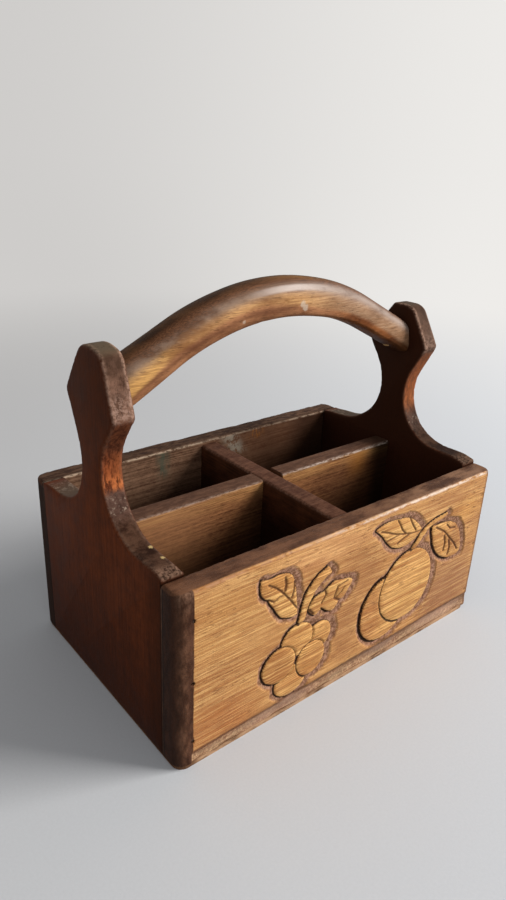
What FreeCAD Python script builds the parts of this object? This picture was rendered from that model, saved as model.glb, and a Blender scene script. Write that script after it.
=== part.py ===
"""Wooden caddy: a four-compartment box with shaped end boards and a bow handle between them.

Millimetres, +Z up. The origin is the centre of the underside, the carved front board faces -Y,
and the bow handle runs along X. Every piece is a solid of its own.
"""
import FreeCAD, Part
import math
import os
import Sketcher

doc = FreeCAD.newDocument("caddy")
dims = doc.addObject("Spreadsheet::Sheet", "dims")

SIZES = (
    # name, size in mm, what it is
    ("length", 280, "front board from end to end"),
    ("depth", 180, "front face to back face"),
    ("wall_top", 122.5, "top of the front and back boards above the ground"),
    ("base_thickness", 3, "thin bottom board"),
    ("base_inset", 1, "bottom board stands back from the walls' outer faces"),
    ("front_thickness", 16, "front board"),
    ("back_thickness", 16, "back board"),
    ("end_thickness", 15, "end boards"),
    ("corner_radius", 8, "rounding of the box's four vertical corners"),
    ("top_edge_radius", 2, "worn rounding along the top of front and back boards"),
    ("lip_height", 9, "shallow step along the foot of the front face"),
    ("lip_depth", 1.2, "how far that step is cut back"),
    ("lip_slope", 1.5, "height of the slope above the step"),
    ("lip_start", 12, "plain stretch at the left of the step"),
    ("divider_thickness", 15, "both dividers"),
    ("divider_drop", 3.5, "dividers' top below the walls' top"),
    ("divider_edge_radius", 2.2, "worn rounding along the dividers' tops"),
    ("long_divider_shift", 5, "long divider's middle plane, towards the back"),
    ("cross_divider_shift", -2, "cross divider's middle plane, towards the right"),
    ("housing_depth", 4, "grooves in the walls that take the dividers' ends"),
    ("housing_clearance", 0.2, "play beside and above a divider in its groove"),
    ("lap_gap", 3.5, "open slot left beside the cross divider in the long one"),
    ("ear_shift", 1, "ears' middle plane, towards the back"),
    ("left_front_rise", 3, "left end board's front shoulder above the front board"),
    ("left_back_rise", 2, "left end board's hollow at the back, its lowest point above the back board"),
    ("right_front_rise", 5, "right end board's front shoulder above the front board"),
    ("right_back_rise", 5, "right end board's hollow at the back, its lowest point above the back board"),
    ("scoop_radius", 36, "hollow between shoulder and head"),
    ("neck_width", 25, "end board at its narrowest"),
    ("left_head_front", 29.5, "left head's front corner, forward of the ear's middle"),
    ("left_head_front_height", 73.5, "its height above the walls' top"),
    ("left_head_back", 27.5, "left head's back corner, behind the ear's middle"),
    ("left_head_back_height", 80, "its height above the walls' top"),
    ("left_crown_front", 16, "left crown's front corner, forward of the ear's middle"),
    ("left_crown_front_height", 111.5, "its height above the walls' top"),
    ("left_crown_back", 7.5, "left crown's back corner, behind the ear's middle"),
    ("left_crown_back_height", 109, "its height above the walls' top"),
    ("left_crown_radius", 4, "rounding of the left crown's two corners"),
    ("right_head_front", 28, "right head's front corner, forward of the ear's middle"),
    ("right_head_front_height", 79.5, "its height above the walls' top"),
    ("right_head_back", 29, "right head's back corner, behind the ear's middle"),
    ("right_head_back_height", 77.5, "its height above the walls' top"),
    ("right_crown_front", 10.5, "right crown's front corner, forward of the ear's middle"),
    ("right_crown_front_height", 107.5, "its height above the walls' top"),
    ("right_crown_back", 9, "right crown's back corner, behind the ear's middle"),
    ("right_crown_back_height", 109, "its height above the walls' top"),
    ("right_crown_radius", 9, "rounding of the right crown's two corners"),
    ("head_front_radius", 4, "rounding of the heads' front corners"),
    ("head_back_radius", 10, "rounding of the heads' back corners"),
    ("ear_edge_radius", 2.2, "eased edges round the ears"),
    ("handle_width", 27, "bow handle, front to back"),
    ("handle_shift", 2.5, "bow's middle plane, towards the back"),
    ("handle_rise", 138, "top of the bow at mid length, above the walls' top"),
    ("handle_thickness", 26.5, "bow from top to underside at mid length"),
    ("handle_end_rise", 81.5, "middle of the bow's ends, above the walls' top"),
    ("handle_end_thickness", 32, "bow from top to underside where it meets the heads"),
    ("handle_edge_radius", 10, "rounding of the bow's four long edges"),
    ("dowel_diameter", 8, "blind dowels between heads and bow"),
    ("dowel_in_ear", 9, "dowel's length inside the head"),
    ("dowel_in_handle", 14, "dowel's length inside the bow"),
    ("nail_length", 38, "corner nails"),
    ("nail_shank", 2.2, "corner nail's shank diameter"),
    ("nail_head", 3.2, "corner nail's head diameter"),
    ("nail_head_height", 1.5, "corner nail's head"),
    ("nail_set", 1, "corner nails' heads punched below the face"),
    ("nail_first_level", 19, "lowest corner nail"),
    ("nail_pitch", 42, "corner nails' spacing"),
    ("left_nail_inset", 10.5, "left corner nails from the left end"),
    ("right_nail_inset", 7, "right corner nails from the right end"),
    ("base_nail_length", 14, "nails under the bottom board"),
    ("base_nail_shank", 1.8, "their shank diameter"),
    ("base_nail_head", 4.4, "their head diameter"),
    ("base_nail_head_height", 0.8, "their head"),
    ("base_nail_pitch", 70, "spacing of those along the front and back boards"),
    ("base_nail_side_pitch", 90, "spacing of those along the end boards"),
)
CORNER_COUNT = 3
FRONT_ROW_COUNT = 4
SIDE_ROW_COUNT = 2
NEAR = 0.001
BOW_ROUNDNESS = 0.87  # the bow's radius as a share of the one that would reach its ends

for row, (alias, number, note) in enumerate(SIZES, start=1):
    dims.set(f"A{row}", note)
    dims.set(f"B{row}", str(number))
    dims.setAlias(f"B{row}", alias)
doc.recompute()

# Places that several pieces share, as expressions on the sheet.
LEFT = "(-dims.length / 2)"
RIGHT = "(dims.length / 2)"
FRONT = "(-dims.depth / 2)"
BACK = "(dims.depth / 2)"
FRONT_INNER = "(-dims.depth / 2 + dims.front_thickness)"
BACK_INNER = "(dims.depth / 2 - dims.back_thickness)"
LEFT_INNER = "(-dims.length / 2 + dims.end_thickness)"
RIGHT_INNER = "(dims.length / 2 - dims.end_thickness)"
DIVIDER_TOP = "(dims.wall_top - dims.divider_drop)"
BOW_TOP = "(dims.wall_top + dims.handle_rise)"
END_MIDDLE = "(dims.wall_top + dims.handle_end_rise)"
LAP_LEVEL = "((dims.base_thickness + dims.wall_top - dims.divider_drop) / 2)"


def size(expression):
    """Number that an expression on the sheet stands for."""
    return float(dims.evalExpression(expression))


def new_body(name):
    """Empty body; a body of nails may hold several solids."""
    body = doc.addObject("PartDesign::Body", name)
    body.AllowCompound = True
    return body


def new_sketch(body, name, plane, offset=("0", "0", "0")):
    """Empty sketch on one of the body's own planes, moved by three expressions in that plane's frame."""
    sketch = body.newObject("Sketcher::SketchObject", name)
    support = next(item for item in body.Origin.OriginFeatures if item.Role == plane)
    sketch.AttachmentSupport = [(support, "")]
    sketch.MapMode = "FlatFace"
    for axis, expression in zip("xyz", offset):
        sketch.setExpression(f"AttachmentOffset.Base.{axis}", expression)
    return sketch


def pin(sketch, edge, end, across, up):
    """Fix one point of an edge at two expressions, measured from the sketch's origin."""
    for kind, expression in (("DistanceX", across), ("DistanceY", up)):
        rule = Sketcher.Constraint(kind, -1, 1, edge, end, size(expression))
        index = sketch.addConstraint(rule)
        sketch.setExpression(f"Constraints[{index}]", expression)


def join(sketch, kind, first, first_end, second, second_end):
    """Make two edges meet end to end, as kind says: Coincident, or Tangent for a smooth joint."""
    sketch.addConstraint(Sketcher.Constraint(kind, first, first_end, second, second_end))


def line(sketch, start, finish):
    """Straight edge between two points given as pairs of numbers."""
    return sketch.addGeometry(Part.LineSegment(FreeCAD.Vector(*start, 0), FreeCAD.Vector(*finish, 0)))


def arc(sketch, centre, radius, start_angle, end_angle):
    """Arc that runs anticlockwise between two angles in radians."""
    circle = Part.Circle(FreeCAD.Vector(*centre, 0), FreeCAD.Vector(0, 0, 1), radius)
    return sketch.addGeometry(Part.ArcOfCircle(circle, start_angle, end_angle))


def polygon(sketch, corners):
    """Closed outline whose corners are pairs of expressions."""
    points = [(size(across), size(up)) for across, up in corners]
    edges = [line(sketch, a, b) for a, b in zip(points, points[1:] + points[:1])]
    for edge, following, (across, up) in zip(edges, edges[1:] + edges[:1], corners):
        pin(sketch, edge, 1, across, up)
        join(sketch, "Coincident", edge, 2, following, 1)


def rectangle(sketch, left, right, low, high):
    """Rectangle between four expressions."""
    polygon(sketch, ((left, low), (right, low), (right, high), (left, high)))


def pad(body, sketch, length, middle=False):
    """Solid from a sketch, along its normal or to both sides of its plane."""
    feature = body.newObject("PartDesign::Pad", f"{sketch.Name}_pad")
    feature.Profile = sketch
    feature.setExpression("Length", length)
    if middle:
        feature.SideType = "Symmetric"
    sketch.Visibility = False
    doc.recompute()
    return feature


def pocket(body, sketch, depth, along_normal=False):
    """Cut from a sketch, against its normal or along it; it has to take wood away."""
    before = body.Shape.Volume
    feature = body.newObject("PartDesign::Pocket", f"{sketch.Name}_cut")
    feature.Profile = sketch
    feature.Reversed = along_normal
    feature.setExpression("Length", depth)
    doc.recompute()
    if body.Shape.Volume > before - NEAR:
        raise RuntimeError(f"{feature.Name} cuts nothing")
    return feature


def fillet(body, name, radius, wanted):
    """Round the edges of the body's shape that the test picks."""
    tip = body.Tip
    names = [f"Edge{n}" for n, edge in enumerate(tip.Shape.Edges, start=1) if wanted(edge)]
    feature = body.newObject("PartDesign::Fillet", name)
    feature.Base = (tip, names)
    feature.setExpression("Radius", radius)
    doc.recompute()
    return feature


def runs_along(edge, axis):
    """True where a straight edge is parallel to axis 0, 1 or 2."""
    if edge.Curve.TypeId != "Part::GeomLine":
        return False
    return abs(abs(edge.tangentAt(edge.FirstParameter)[axis]) - 1) < NEAR


def at(edge, axis, expression):
    """True where the whole edge lies at one value of a coordinate."""
    box = edge.BoundBox
    low = (box.XMin, box.YMin, box.ZMin)[axis]
    high = (box.XMax, box.YMax, box.ZMax)[axis]
    place = size(expression)
    return abs(low - place) < NEAR and abs(high - place) < NEAR


def bored(label, body, tools):
    """The finished piece: the body less the fasteners driven into it."""
    driven = doc.addObject("Part::Compound", f"{label}_fasteners")
    driven.Links = tools
    piece = doc.addObject("Part::Cut", f"{label}_piece")
    piece.Base = body
    piece.Tool = driven
    piece.Label = label
    doc.recompute()
    return piece


def nail_row(name, plane, offset, inward, sizes, direction, pitch, count):
    """Row of equal nails, each turned about its own axis from a half outline.

    The axis is the sketch's upright. inward is 1 or -1: the way that the point goes along it.
    """
    head, head_height, shank, length = sizes
    body = new_body(name)
    sketch = new_sketch(body, f"{name}_profile", plane, offset)
    taper = f"({head} - {shank}) / 2"
    outline = (
        ("0", "0"),
        (f"{head} / 2", "0"),
        (f"{head} / 2", f"{inward} * {head_height}"),
        (f"{shank} / 2", f"{inward} * ({head_height} + {taper})"),
        (f"{shank} / 2", f"{inward} * ({length} - 2 * {shank})"),
        ("0", f"{inward} * {length}"),
    )
    polygon(sketch, outline)
    turned = body.newObject("PartDesign::Revolution", f"{name}_turned")
    turned.Profile = sketch
    turned.ReferenceAxis = (sketch, ["V_Axis"])
    turned.Angle = 360
    doc.recompute()
    row = body.newObject("PartDesign::LinearPattern", f"{name}_row")
    row.Originals = [turned]
    row.Direction = (sketch, [direction])
    row.Occurrences = count
    row.setExpression("Length", f"{pitch} * {count - 1}")
    body.Tip = row
    doc.recompute()
    return body


def group(label, members):
    """One node that holds several equal fasteners as separate solids."""
    node = doc.addObject("Part::Compound", f"{label}_group")
    node.Links = members
    node.Label = label
    doc.recompute()
    return node


# Fasteners -----------------------------------------------------------------

CORNER_NAIL = ("dims.nail_head", "dims.nail_head_height", "dims.nail_shank", "dims.nail_length")
BASE_NAIL = ("dims.base_nail_head", "dims.base_nail_head_height", "dims.base_nail_shank",
             "dims.base_nail_length")


def corner_nails(name, across, face, inward):
    """Three nails through a front or back corner into the end board's edge."""
    head_at = f"{face} + {inward} * dims.nail_set"
    return nail_row(name, "XY_Plane", (across, head_at, "dims.nail_first_level"), inward,
                    CORNER_NAIL, "N_Axis", "dims.nail_pitch", CORNER_COUNT)


LEFT_NAILS_AT = f"{LEFT} + dims.left_nail_inset"
RIGHT_NAILS_AT = f"{RIGHT} - dims.right_nail_inset"
front_left = corner_nails("front_left_row", LEFT_NAILS_AT, FRONT, 1)
front_right = corner_nails("front_right_row", RIGHT_NAILS_AT, FRONT, 1)
back_left = corner_nails("back_left_row", LEFT_NAILS_AT, BACK, -1)
back_right = corner_nails("back_right_row", RIGHT_NAILS_AT, BACK, -1)


def base_nails(name, across, back_to_front, direction, pitch, count):
    """Nails up through the bottom board; the second coordinate is measured towards the front."""
    return nail_row(name, "XZ_Plane", (across, "0", back_to_front), 1, BASE_NAIL, direction, pitch, count)


ALONG_START = f"-dims.base_nail_pitch * {FRONT_ROW_COUNT - 1} / 2"
ACROSS_START = f"-dims.base_nail_side_pitch * {SIDE_ROW_COUNT - 1} / 2"
base_front = base_nails("base_front_row", ALONG_START, f"-{FRONT} - dims.front_thickness / 2",
                        "H_Axis", "dims.base_nail_pitch", FRONT_ROW_COUNT)
base_back = base_nails("base_back_row", ALONG_START, f"-{BACK} + dims.back_thickness / 2",
                       "H_Axis", "dims.base_nail_pitch", FRONT_ROW_COUNT)
base_left = base_nails("base_left_row", f"{LEFT} + dims.end_thickness / 2", ACROSS_START,
                       "N_Axis", "dims.base_nail_side_pitch", SIDE_ROW_COUNT)
base_right = base_nails("base_right_row", f"{RIGHT} - dims.end_thickness / 2", ACROSS_START,
                        "N_Axis", "dims.base_nail_side_pitch", SIDE_ROW_COUNT)


def handle_dowel(name, start, tidy_label):
    """Blind dowel, half in the head and half in the bow."""
    body = new_body(name)
    place = ("dims.ear_shift", END_MIDDLE, start)
    sketch = new_sketch(body, f"{name}_section", "YZ_Plane", place)
    circle = Part.Circle(FreeCAD.Vector(0, 0, 0), FreeCAD.Vector(0, 0, 1), size("dims.dowel_diameter / 2"))
    edge = sketch.addGeometry(circle)
    join(sketch, "Coincident", edge, 3, -1, 1)
    index = sketch.addConstraint(Sketcher.Constraint("Diameter", edge, size("dims.dowel_diameter")))
    sketch.setExpression(f"Constraints[{index}]", "dims.dowel_diameter")
    pad(body, sketch, "dims.dowel_in_ear + dims.dowel_in_handle")
    body.Label = tidy_label
    return body


left_dowel = handle_dowel("left_dowel", f"{LEFT_INNER} - dims.dowel_in_ear", "left_handle_dowel")
right_dowel = handle_dowel("right_dowel", f"{RIGHT_INNER} - dims.dowel_in_handle", "right_handle_dowel")


# Front and back boards -------------------------------------------------------

def housing(body, name, left, right, low, high):
    """Stopped groove that takes a divider's end; the rectangle is its plan."""
    sketch = new_sketch(body, name, "XY_Plane", ("0", "0", "dims.base_thickness"))
    rectangle(sketch, left, right, low, high)
    height = f"{DIVIDER_TOP} + dims.housing_clearance - dims.base_thickness"
    pocket(body, sketch, height, along_normal=True)


CROSS_SLOT_LEFT = "dims.cross_divider_shift - dims.divider_thickness / 2 - dims.housing_clearance"
CROSS_SLOT_RIGHT = "dims.cross_divider_shift + dims.divider_thickness / 2 + dims.housing_clearance"
LONG_SLOT_FRONT = "dims.long_divider_shift - dims.divider_thickness / 2 - dims.housing_clearance"
LONG_SLOT_BACK = "dims.long_divider_shift + dims.divider_thickness / 2 + dims.housing_clearance"


def long_wall(name, outer, inner, slot_low, slot_high):
    """Front or back board: rounded outer corners, eased top, groove for the cross divider."""
    body = new_body(name)
    plan = new_sketch(body, f"{name}_plan", "XY_Plane", ("0", "0", "dims.base_thickness"))
    low, high = sorted((outer, inner), key=size)
    rectangle(plan, LEFT, RIGHT, low, high)
    pad(body, plan, "dims.wall_top - dims.base_thickness")
    fillet(body, f"{name}_corners", "dims.corner_radius",
           lambda edge: runs_along(edge, 2) and at(edge, 1, outer))
    fillet(body, f"{name}_top", "dims.top_edge_radius", lambda edge: at(edge, 2, "dims.wall_top"))
    housing(body, f"{name}_groove", CROSS_SLOT_LEFT, CROSS_SLOT_RIGHT, slot_low, slot_high)
    return body


def punched(body, name, plane_offset, along_normal):
    """Small round holes left above the heads of the corner nails."""
    sketch = new_sketch(body, name, "XZ_Plane", ("0", "0", plane_offset))
    for across in (LEFT_NAILS_AT, RIGHT_NAILS_AT):
        for number in range(CORNER_COUNT):
            up = f"dims.nail_first_level + {number} * dims.nail_pitch"
            centre = FreeCAD.Vector(size(across), size(up), 0)
            circle = Part.Circle(centre, FreeCAD.Vector(0, 0, 1), size("dims.nail_head / 2"))
            edge = sketch.addGeometry(circle)
            pin(sketch, edge, 3, across, up)
            index = sketch.addConstraint(Sketcher.Constraint("Diameter", edge, size("dims.nail_head")))
            sketch.setExpression(f"Constraints[{index}]", "dims.nail_head")
    pocket(body, sketch, "dims.nail_set", along_normal)


front = long_wall("front_blank", FRONT, FRONT_INNER,
                  f"{FRONT_INNER} - dims.housing_depth", FRONT_INNER)
lip = new_sketch(front, "front_lip", "YZ_Plane", ("0", "0", f"{LEFT} + dims.lip_start"))
LIP_TOP = "dims.base_thickness + dims.lip_height"
LIP_FACE = f"{FRONT} + dims.lip_depth"
polygon(lip, (
    (FRONT, "dims.base_thickness"),
    (LIP_FACE, "dims.base_thickness"),
    (LIP_FACE, f"{LIP_TOP} - dims.lip_slope"),
    (FRONT, LIP_TOP),
))
pocket(front, lip, "dims.length - dims.lip_start", along_normal=True)
punched(front, "front_punched", f"-{FRONT}", along_normal=False)

back = long_wall("back_blank", BACK, BACK_INNER, BACK_INNER, f"{BACK_INNER} + dims.housing_depth")
punched(back, "back_punched", f"-{BACK}", along_normal=True)


# End boards ----------------------------------------------------------------

def tangent_angle(centre, radius, point, side):
    """Angle on a circle where the line from an outside point touches it; side is 1 or -1."""
    dx = point[0] - centre[0]
    dy = point[1] - centre[1]
    return math.atan2(dy, dx) + side * math.acos(radius / math.hypot(dx, dy))


def on_circle(centre, radius, angle):
    """Point of a circle at an angle."""
    return (centre[0] + radius * math.cos(angle), centre[1] + radius * math.sin(angle))


FRONT_SCOOP = "(dims.ear_shift - dims.neck_width / 2 - dims.scoop_radius)"
BACK_SCOOP = "(dims.ear_shift + dims.neck_width / 2 + dims.scoop_radius)"


def ear_places(side):
    """Corners of an end board, each a pair of expressions: towards the back, and up."""
    front_shoulder = f"(dims.wall_top + dims.{side}_front_rise)"

    def head(corner, sign):
        across = f"dims.ear_shift {sign} dims.{side}_{corner}"
        return across, f"dims.wall_top + dims.{side}_{corner}_height"

    return {
        "foot_front": (FRONT_INNER, "dims.base_thickness"),
        "foot_back": (BACK_INNER, "dims.base_thickness"),
        "back_end": (BACK_INNER, "dims.wall_top"),
        "back_corner": head("head_back", "+"),
        "back_crown": head("crown_back", "+"),
        "front_crown": head("crown_front", "-"),
        "front_corner": head("head_front", "-"),
        "front_low": (FRONT_SCOOP, front_shoulder),
        "front_end": (FRONT_INNER, front_shoulder),
    }


def ear_outline(sketch, side):
    """Outline of an end board: wall, shoulders, two scoops up to the neck, and a six-sided head."""
    named = ear_places(side)
    back_scoop_level = f"(dims.wall_top + dims.{side}_back_rise + dims.scoop_radius)"
    front_scoop_level = f"({named['front_low'][1]} + dims.scoop_radius)"
    spot = {name: (size(across), size(up)) for name, (across, up) in named.items()}
    radius = size("dims.scoop_radius")
    back_centre = (size(BACK_SCOOP), size(back_scoop_level))
    front_centre = (size(FRONT_SCOOP), size(front_scoop_level))
    back_angle = tangent_angle(back_centre, radius, spot["back_corner"], 1)
    shoulder_angle = tangent_angle(back_centre, radius, spot["back_end"], -1) + 2 * math.pi
    front_angle = tangent_angle(front_centre, radius, spot["front_corner"], -1)
    foot = line(sketch, spot["foot_front"], spot["foot_back"])
    back_edge = line(sketch, spot["foot_back"], spot["back_end"])
    back_flat = line(sketch, spot["back_end"], on_circle(back_centre, radius, shoulder_angle))
    back_arc = arc(sketch, back_centre, radius, back_angle, shoulder_angle)
    back_under = line(sketch, on_circle(back_centre, radius, back_angle), spot["back_corner"])
    back_side = line(sketch, spot["back_corner"], spot["back_crown"])
    crown = line(sketch, spot["back_crown"], spot["front_crown"])
    front_side = line(sketch, spot["front_crown"], spot["front_corner"])
    front_under = line(sketch, spot["front_corner"], on_circle(front_centre, radius, front_angle))
    front_arc = arc(sketch, front_centre, radius, math.radians(-90), front_angle)
    front_flat = line(sketch, spot["front_low"], spot["front_end"])
    front_edge = line(sketch, spot["front_end"], spot["foot_front"])
    starts = (
        (foot, "foot_front"), (back_edge, "foot_back"), (back_flat, "back_end"),
        (back_side, "back_corner"), (crown, "back_crown"), (front_side, "front_crown"),
        (front_under, "front_corner"), (front_flat, "front_low"), (front_edge, "front_end"),
    )
    for edge, name in starts:
        pin(sketch, edge, 1, *named[name])
    pin(sketch, back_arc, 3, BACK_SCOOP, back_scoop_level)
    pin(sketch, front_arc, 3, FRONT_SCOOP, front_scoop_level)
    straight_joints = (
        (foot, back_edge), (back_edge, back_flat), (back_under, back_side), (back_side, crown),
        (crown, front_side), (front_side, front_under), (front_flat, front_edge), (front_edge, foot),
    )
    for first, second in straight_joints:
        join(sketch, "Coincident", first, 2, second, 1)
    join(sketch, "Tangent", back_flat, 2, back_arc, 2)
    join(sketch, "Tangent", back_arc, 1, back_under, 1)
    join(sketch, "Tangent", front_under, 2, front_arc, 2)
    join(sketch, "Coincident", front_arc, 1, front_flat, 1)


def end_board(name, side, outer, inner):
    """End board of one side, flush with the ends of the front and back boards."""
    body = new_body(name)
    low, high = sorted((outer, inner), key=size)
    outline = new_sketch(body, f"{name}_outline", "YZ_Plane", ("0", "0", low))
    ear_outline(outline, side)
    pad(body, outline, "dims.end_thickness")

    def corner(*names):
        places = [ear_places(side)[corner_name] for corner_name in names]
        return lambda edge: runs_along(edge, 0) and any(
            at(edge, 1, across) and at(edge, 2, up) for across, up in places)

    def round_the_ear(edge):
        on_face = at(edge, 0, outer) or at(edge, 0, inner)
        return on_face and edge.BoundBox.ZMin > size("dims.wall_top") - NEAR and not (
            runs_along(edge, 2) and at(edge, 1, FRONT_INNER))

    fillet(body, f"{name}_front_corner", "dims.head_front_radius", corner("front_corner"))
    fillet(body, f"{name}_back_corner", "dims.head_back_radius", corner("back_corner"))
    fillet(body, f"{name}_crown_corners", f"dims.{side}_crown_radius", corner("front_crown", "back_crown"))
    fillet(body, f"{name}_edges", "dims.ear_edge_radius", round_the_ear)
    groove = (inner, f"{inner} - dims.housing_depth") if side == "left" else (
        inner, f"{inner} + dims.housing_depth")
    groove_low, groove_high = sorted(groove, key=size)
    housing(body, f"{name}_groove", groove_low, groove_high, LONG_SLOT_FRONT, LONG_SLOT_BACK)
    return body


left_end = end_board("left_blank", "left", LEFT, LEFT_INNER)
right_end = end_board("right_blank", "right", RIGHT, RIGHT_INNER)


# Bottom board ----------------------------------------------------------------

base = new_body("base_blank")
base_plan = new_sketch(base, "base_plan", "XY_Plane")
rectangle(base_plan, f"{LEFT} + dims.base_inset", f"{RIGHT} - dims.base_inset",
          f"{FRONT} + dims.base_inset", f"{BACK} - dims.base_inset")
pad(base, base_plan, "dims.base_thickness")
fillet(base, "base_corners", "dims.corner_radius - dims.base_inset", lambda edge: runs_along(edge, 2))


# Dividers --------------------------------------------------------------------

def divider(name, label, plane, middle, outline, axis):
    """Divider cut from a board of one thickness, with its top edges worn round."""
    body = new_body(name)
    sketch = new_sketch(body, f"{name}_outline", plane, ("0", "0", middle))
    polygon(sketch, outline)
    pad(body, sketch, "dims.divider_thickness", middle=True)
    fillet(body, f"{name}_edges", "dims.divider_edge_radius",
           lambda edge: runs_along(edge, axis) and at(edge, 2, DIVIDER_TOP))
    body.Label = label
    return body


LONG_LEFT = f"{LEFT_INNER} - dims.housing_depth"
LONG_RIGHT = f"{RIGHT_INNER} + dims.housing_depth"
LAP_RIGHT = "dims.cross_divider_shift + dims.divider_thickness / 2 + dims.lap_gap"
long_divider = divider("long_plank", "long_divider", "XZ_Plane", "-dims.long_divider_shift", (
    (LONG_LEFT, "dims.base_thickness"),
    (LONG_RIGHT, "dims.base_thickness"),
    (LONG_RIGHT, DIVIDER_TOP),
    (LAP_RIGHT, DIVIDER_TOP),
    (LAP_RIGHT, LAP_LEVEL),
    (CROSS_SLOT_LEFT, LAP_LEVEL),
    (CROSS_SLOT_LEFT, DIVIDER_TOP),
    (LONG_LEFT, DIVIDER_TOP),
), 0)

CROSS_FRONT = f"{FRONT_INNER} - dims.housing_depth"
CROSS_BACK = f"{BACK_INNER} + dims.housing_depth"
cross_divider = divider("cross_plank", "cross_divider", "YZ_Plane", "dims.cross_divider_shift", (
    (CROSS_FRONT, "dims.base_thickness"),
    (LONG_SLOT_FRONT, "dims.base_thickness"),
    (LONG_SLOT_FRONT, LAP_LEVEL),
    (LONG_SLOT_BACK, LAP_LEVEL),
    (LONG_SLOT_BACK, "dims.base_thickness"),
    (CROSS_BACK, "dims.base_thickness"),
    (CROSS_BACK, DIVIDER_TOP),
    (CROSS_FRONT, DIVIDER_TOP),
), 1)


# Bow handle --------------------------------------------------------------------

def bow_curve(sketch, crown, end):
    """One long side of the bow: an arc over the middle that runs out in two straight lines.

    Returns its right and left lines.
    """
    rise = f"(({crown}) - ({end}))"
    radius = f"({BOW_ROUNDNESS} * ({RIGHT_INNER}^2 + {rise}^2) / (2 * {rise}))"
    centre_level = f"({crown}) - {radius}"
    half = size(RIGHT_INNER)
    centre = (0, size(centre_level))
    touch = tangent_angle(centre, size(radius), (half, size(end)), 1)
    right_run = line(sketch, (half, size(end)), on_circle(centre, size(radius), touch))
    middle = arc(sketch, centre, size(radius), touch, math.pi - touch)
    left_run = line(sketch, on_circle(centre, size(radius), math.pi - touch), (-half, size(end)))
    pin(sketch, right_run, 1, RIGHT_INNER, end)
    pin(sketch, left_run, 2, LEFT_INNER, end)
    pin(sketch, middle, 3, "0", centre_level)
    index = sketch.addConstraint(Sketcher.Constraint("Radius", middle, size(radius)))
    sketch.setExpression(f"Constraints[{index}]", radius)
    join(sketch, "Tangent", right_run, 2, middle, 1)
    join(sketch, "Tangent", middle, 2, left_run, 1)
    return right_run, left_run


END_TOP = f"{END_MIDDLE} + dims.handle_end_thickness / 2"
END_BOTTOM = f"{END_MIDDLE} - dims.handle_end_thickness / 2"

bow = new_body("bow_blank")
bow_side = new_sketch(bow, "bow_side", "XZ_Plane", ("0", "0", "-dims.handle_shift"))
top_right, top_left = bow_curve(bow_side, BOW_TOP, END_TOP)
belly_right, belly_left = bow_curve(
    bow_side, f"{BOW_TOP} - dims.handle_thickness", END_BOTTOM)
for top_run, belly_run, run_end, end_face in (
        (top_right, belly_right, 1, RIGHT_INNER), (top_left, belly_left, 2, LEFT_INNER)):
    cut = line(bow_side, (size(end_face), size(END_TOP)), (size(end_face), size(END_BOTTOM)))
    join(bow_side, "Coincident", top_run, run_end, cut, 1)
    join(bow_side, "Coincident", cut, 2, belly_run, run_end)
pad(bow, bow_side, "dims.handle_width", middle=True)
fillet(bow, "bow_edges", "dims.handle_edge_radius",
       lambda edge: not runs_along(edge, 1) and not runs_along(edge, 2))


# Finished pieces -----------------------------------------------------------------

pieces = (
    bored("front_board", front, [front_left, front_right, base_front]),
    bored("back_board", back, [back_left, back_right, base_back]),
    bored("left_end_board", left_end, [front_left, back_left, base_left, left_dowel]),
    bored("right_end_board", right_end, [front_right, back_right, base_right, right_dowel]),
    bored("bottom_board", base, [base_front, base_back, base_left, base_right]),
    bored("bow_handle", bow, [left_dowel, right_dowel]),
    long_divider,
    cross_divider,
    left_dowel,
    right_dowel,
    group("front_left_nails", [front_left]),
    group("front_right_nails", [front_right]),
    group("back_left_nails", [back_left]),
    group("back_right_nails", [back_right]),
    group("bottom_nails", [base_front, base_back, base_left, base_right]),
)

doc.recompute()
for item in doc.Objects:
    if "Invalid" in item.State or "Error" in item.State:
        raise RuntimeError(f"{item.Name} is {item.State}")
for piece in pieces:
    if piece.Shape.isNull() or not piece.Shape.isValid():
        raise RuntimeError(f"{piece.Label} has no valid shape")

os.makedirs("parts", exist_ok=True)
for piece in pieces:
    piece.Shape.exportStep(f"parts/{piece.Label}.step")
    box = piece.Shape.BoundBox
    print(f"{piece.Label}: {len(piece.Shape.Solids)} solids, {piece.Shape.Volume / 1000:.2f} cm3, "
          f"{box.XLength:.1f} x {box.YLength:.1f} x {box.ZLength:.1f}")
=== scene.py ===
"""Looks of the wooden caddy: carved front board, worn stained wood, bow handle, and studio light.

The frame is the part's own: origin at the centre of the underside, +X along the bow, the carved front
faces -Y, +Z up. Shapes are written in millimetres and become metres where a mesh is made. Colours of
surfaces are written as they look on a screen, 0 to 255, and become linear where they are mixed.
"""
import itertools
import math

import bpy
import numpy as np
from mathutils import Matrix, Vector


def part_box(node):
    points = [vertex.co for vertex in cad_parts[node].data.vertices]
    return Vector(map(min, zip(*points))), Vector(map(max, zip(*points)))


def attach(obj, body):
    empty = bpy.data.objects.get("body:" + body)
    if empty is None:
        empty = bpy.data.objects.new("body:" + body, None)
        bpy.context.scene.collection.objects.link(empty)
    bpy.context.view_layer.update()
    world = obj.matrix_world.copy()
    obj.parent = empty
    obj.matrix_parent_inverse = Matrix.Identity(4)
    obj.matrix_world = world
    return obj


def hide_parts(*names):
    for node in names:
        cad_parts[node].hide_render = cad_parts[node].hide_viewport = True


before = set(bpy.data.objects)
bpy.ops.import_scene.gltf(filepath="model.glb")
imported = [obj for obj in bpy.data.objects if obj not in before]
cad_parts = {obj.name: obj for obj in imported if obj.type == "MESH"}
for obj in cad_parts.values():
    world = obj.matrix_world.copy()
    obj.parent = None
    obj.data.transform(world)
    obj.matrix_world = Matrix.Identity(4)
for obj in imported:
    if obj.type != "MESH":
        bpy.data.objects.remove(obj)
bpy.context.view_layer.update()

MM = 0.001
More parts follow.
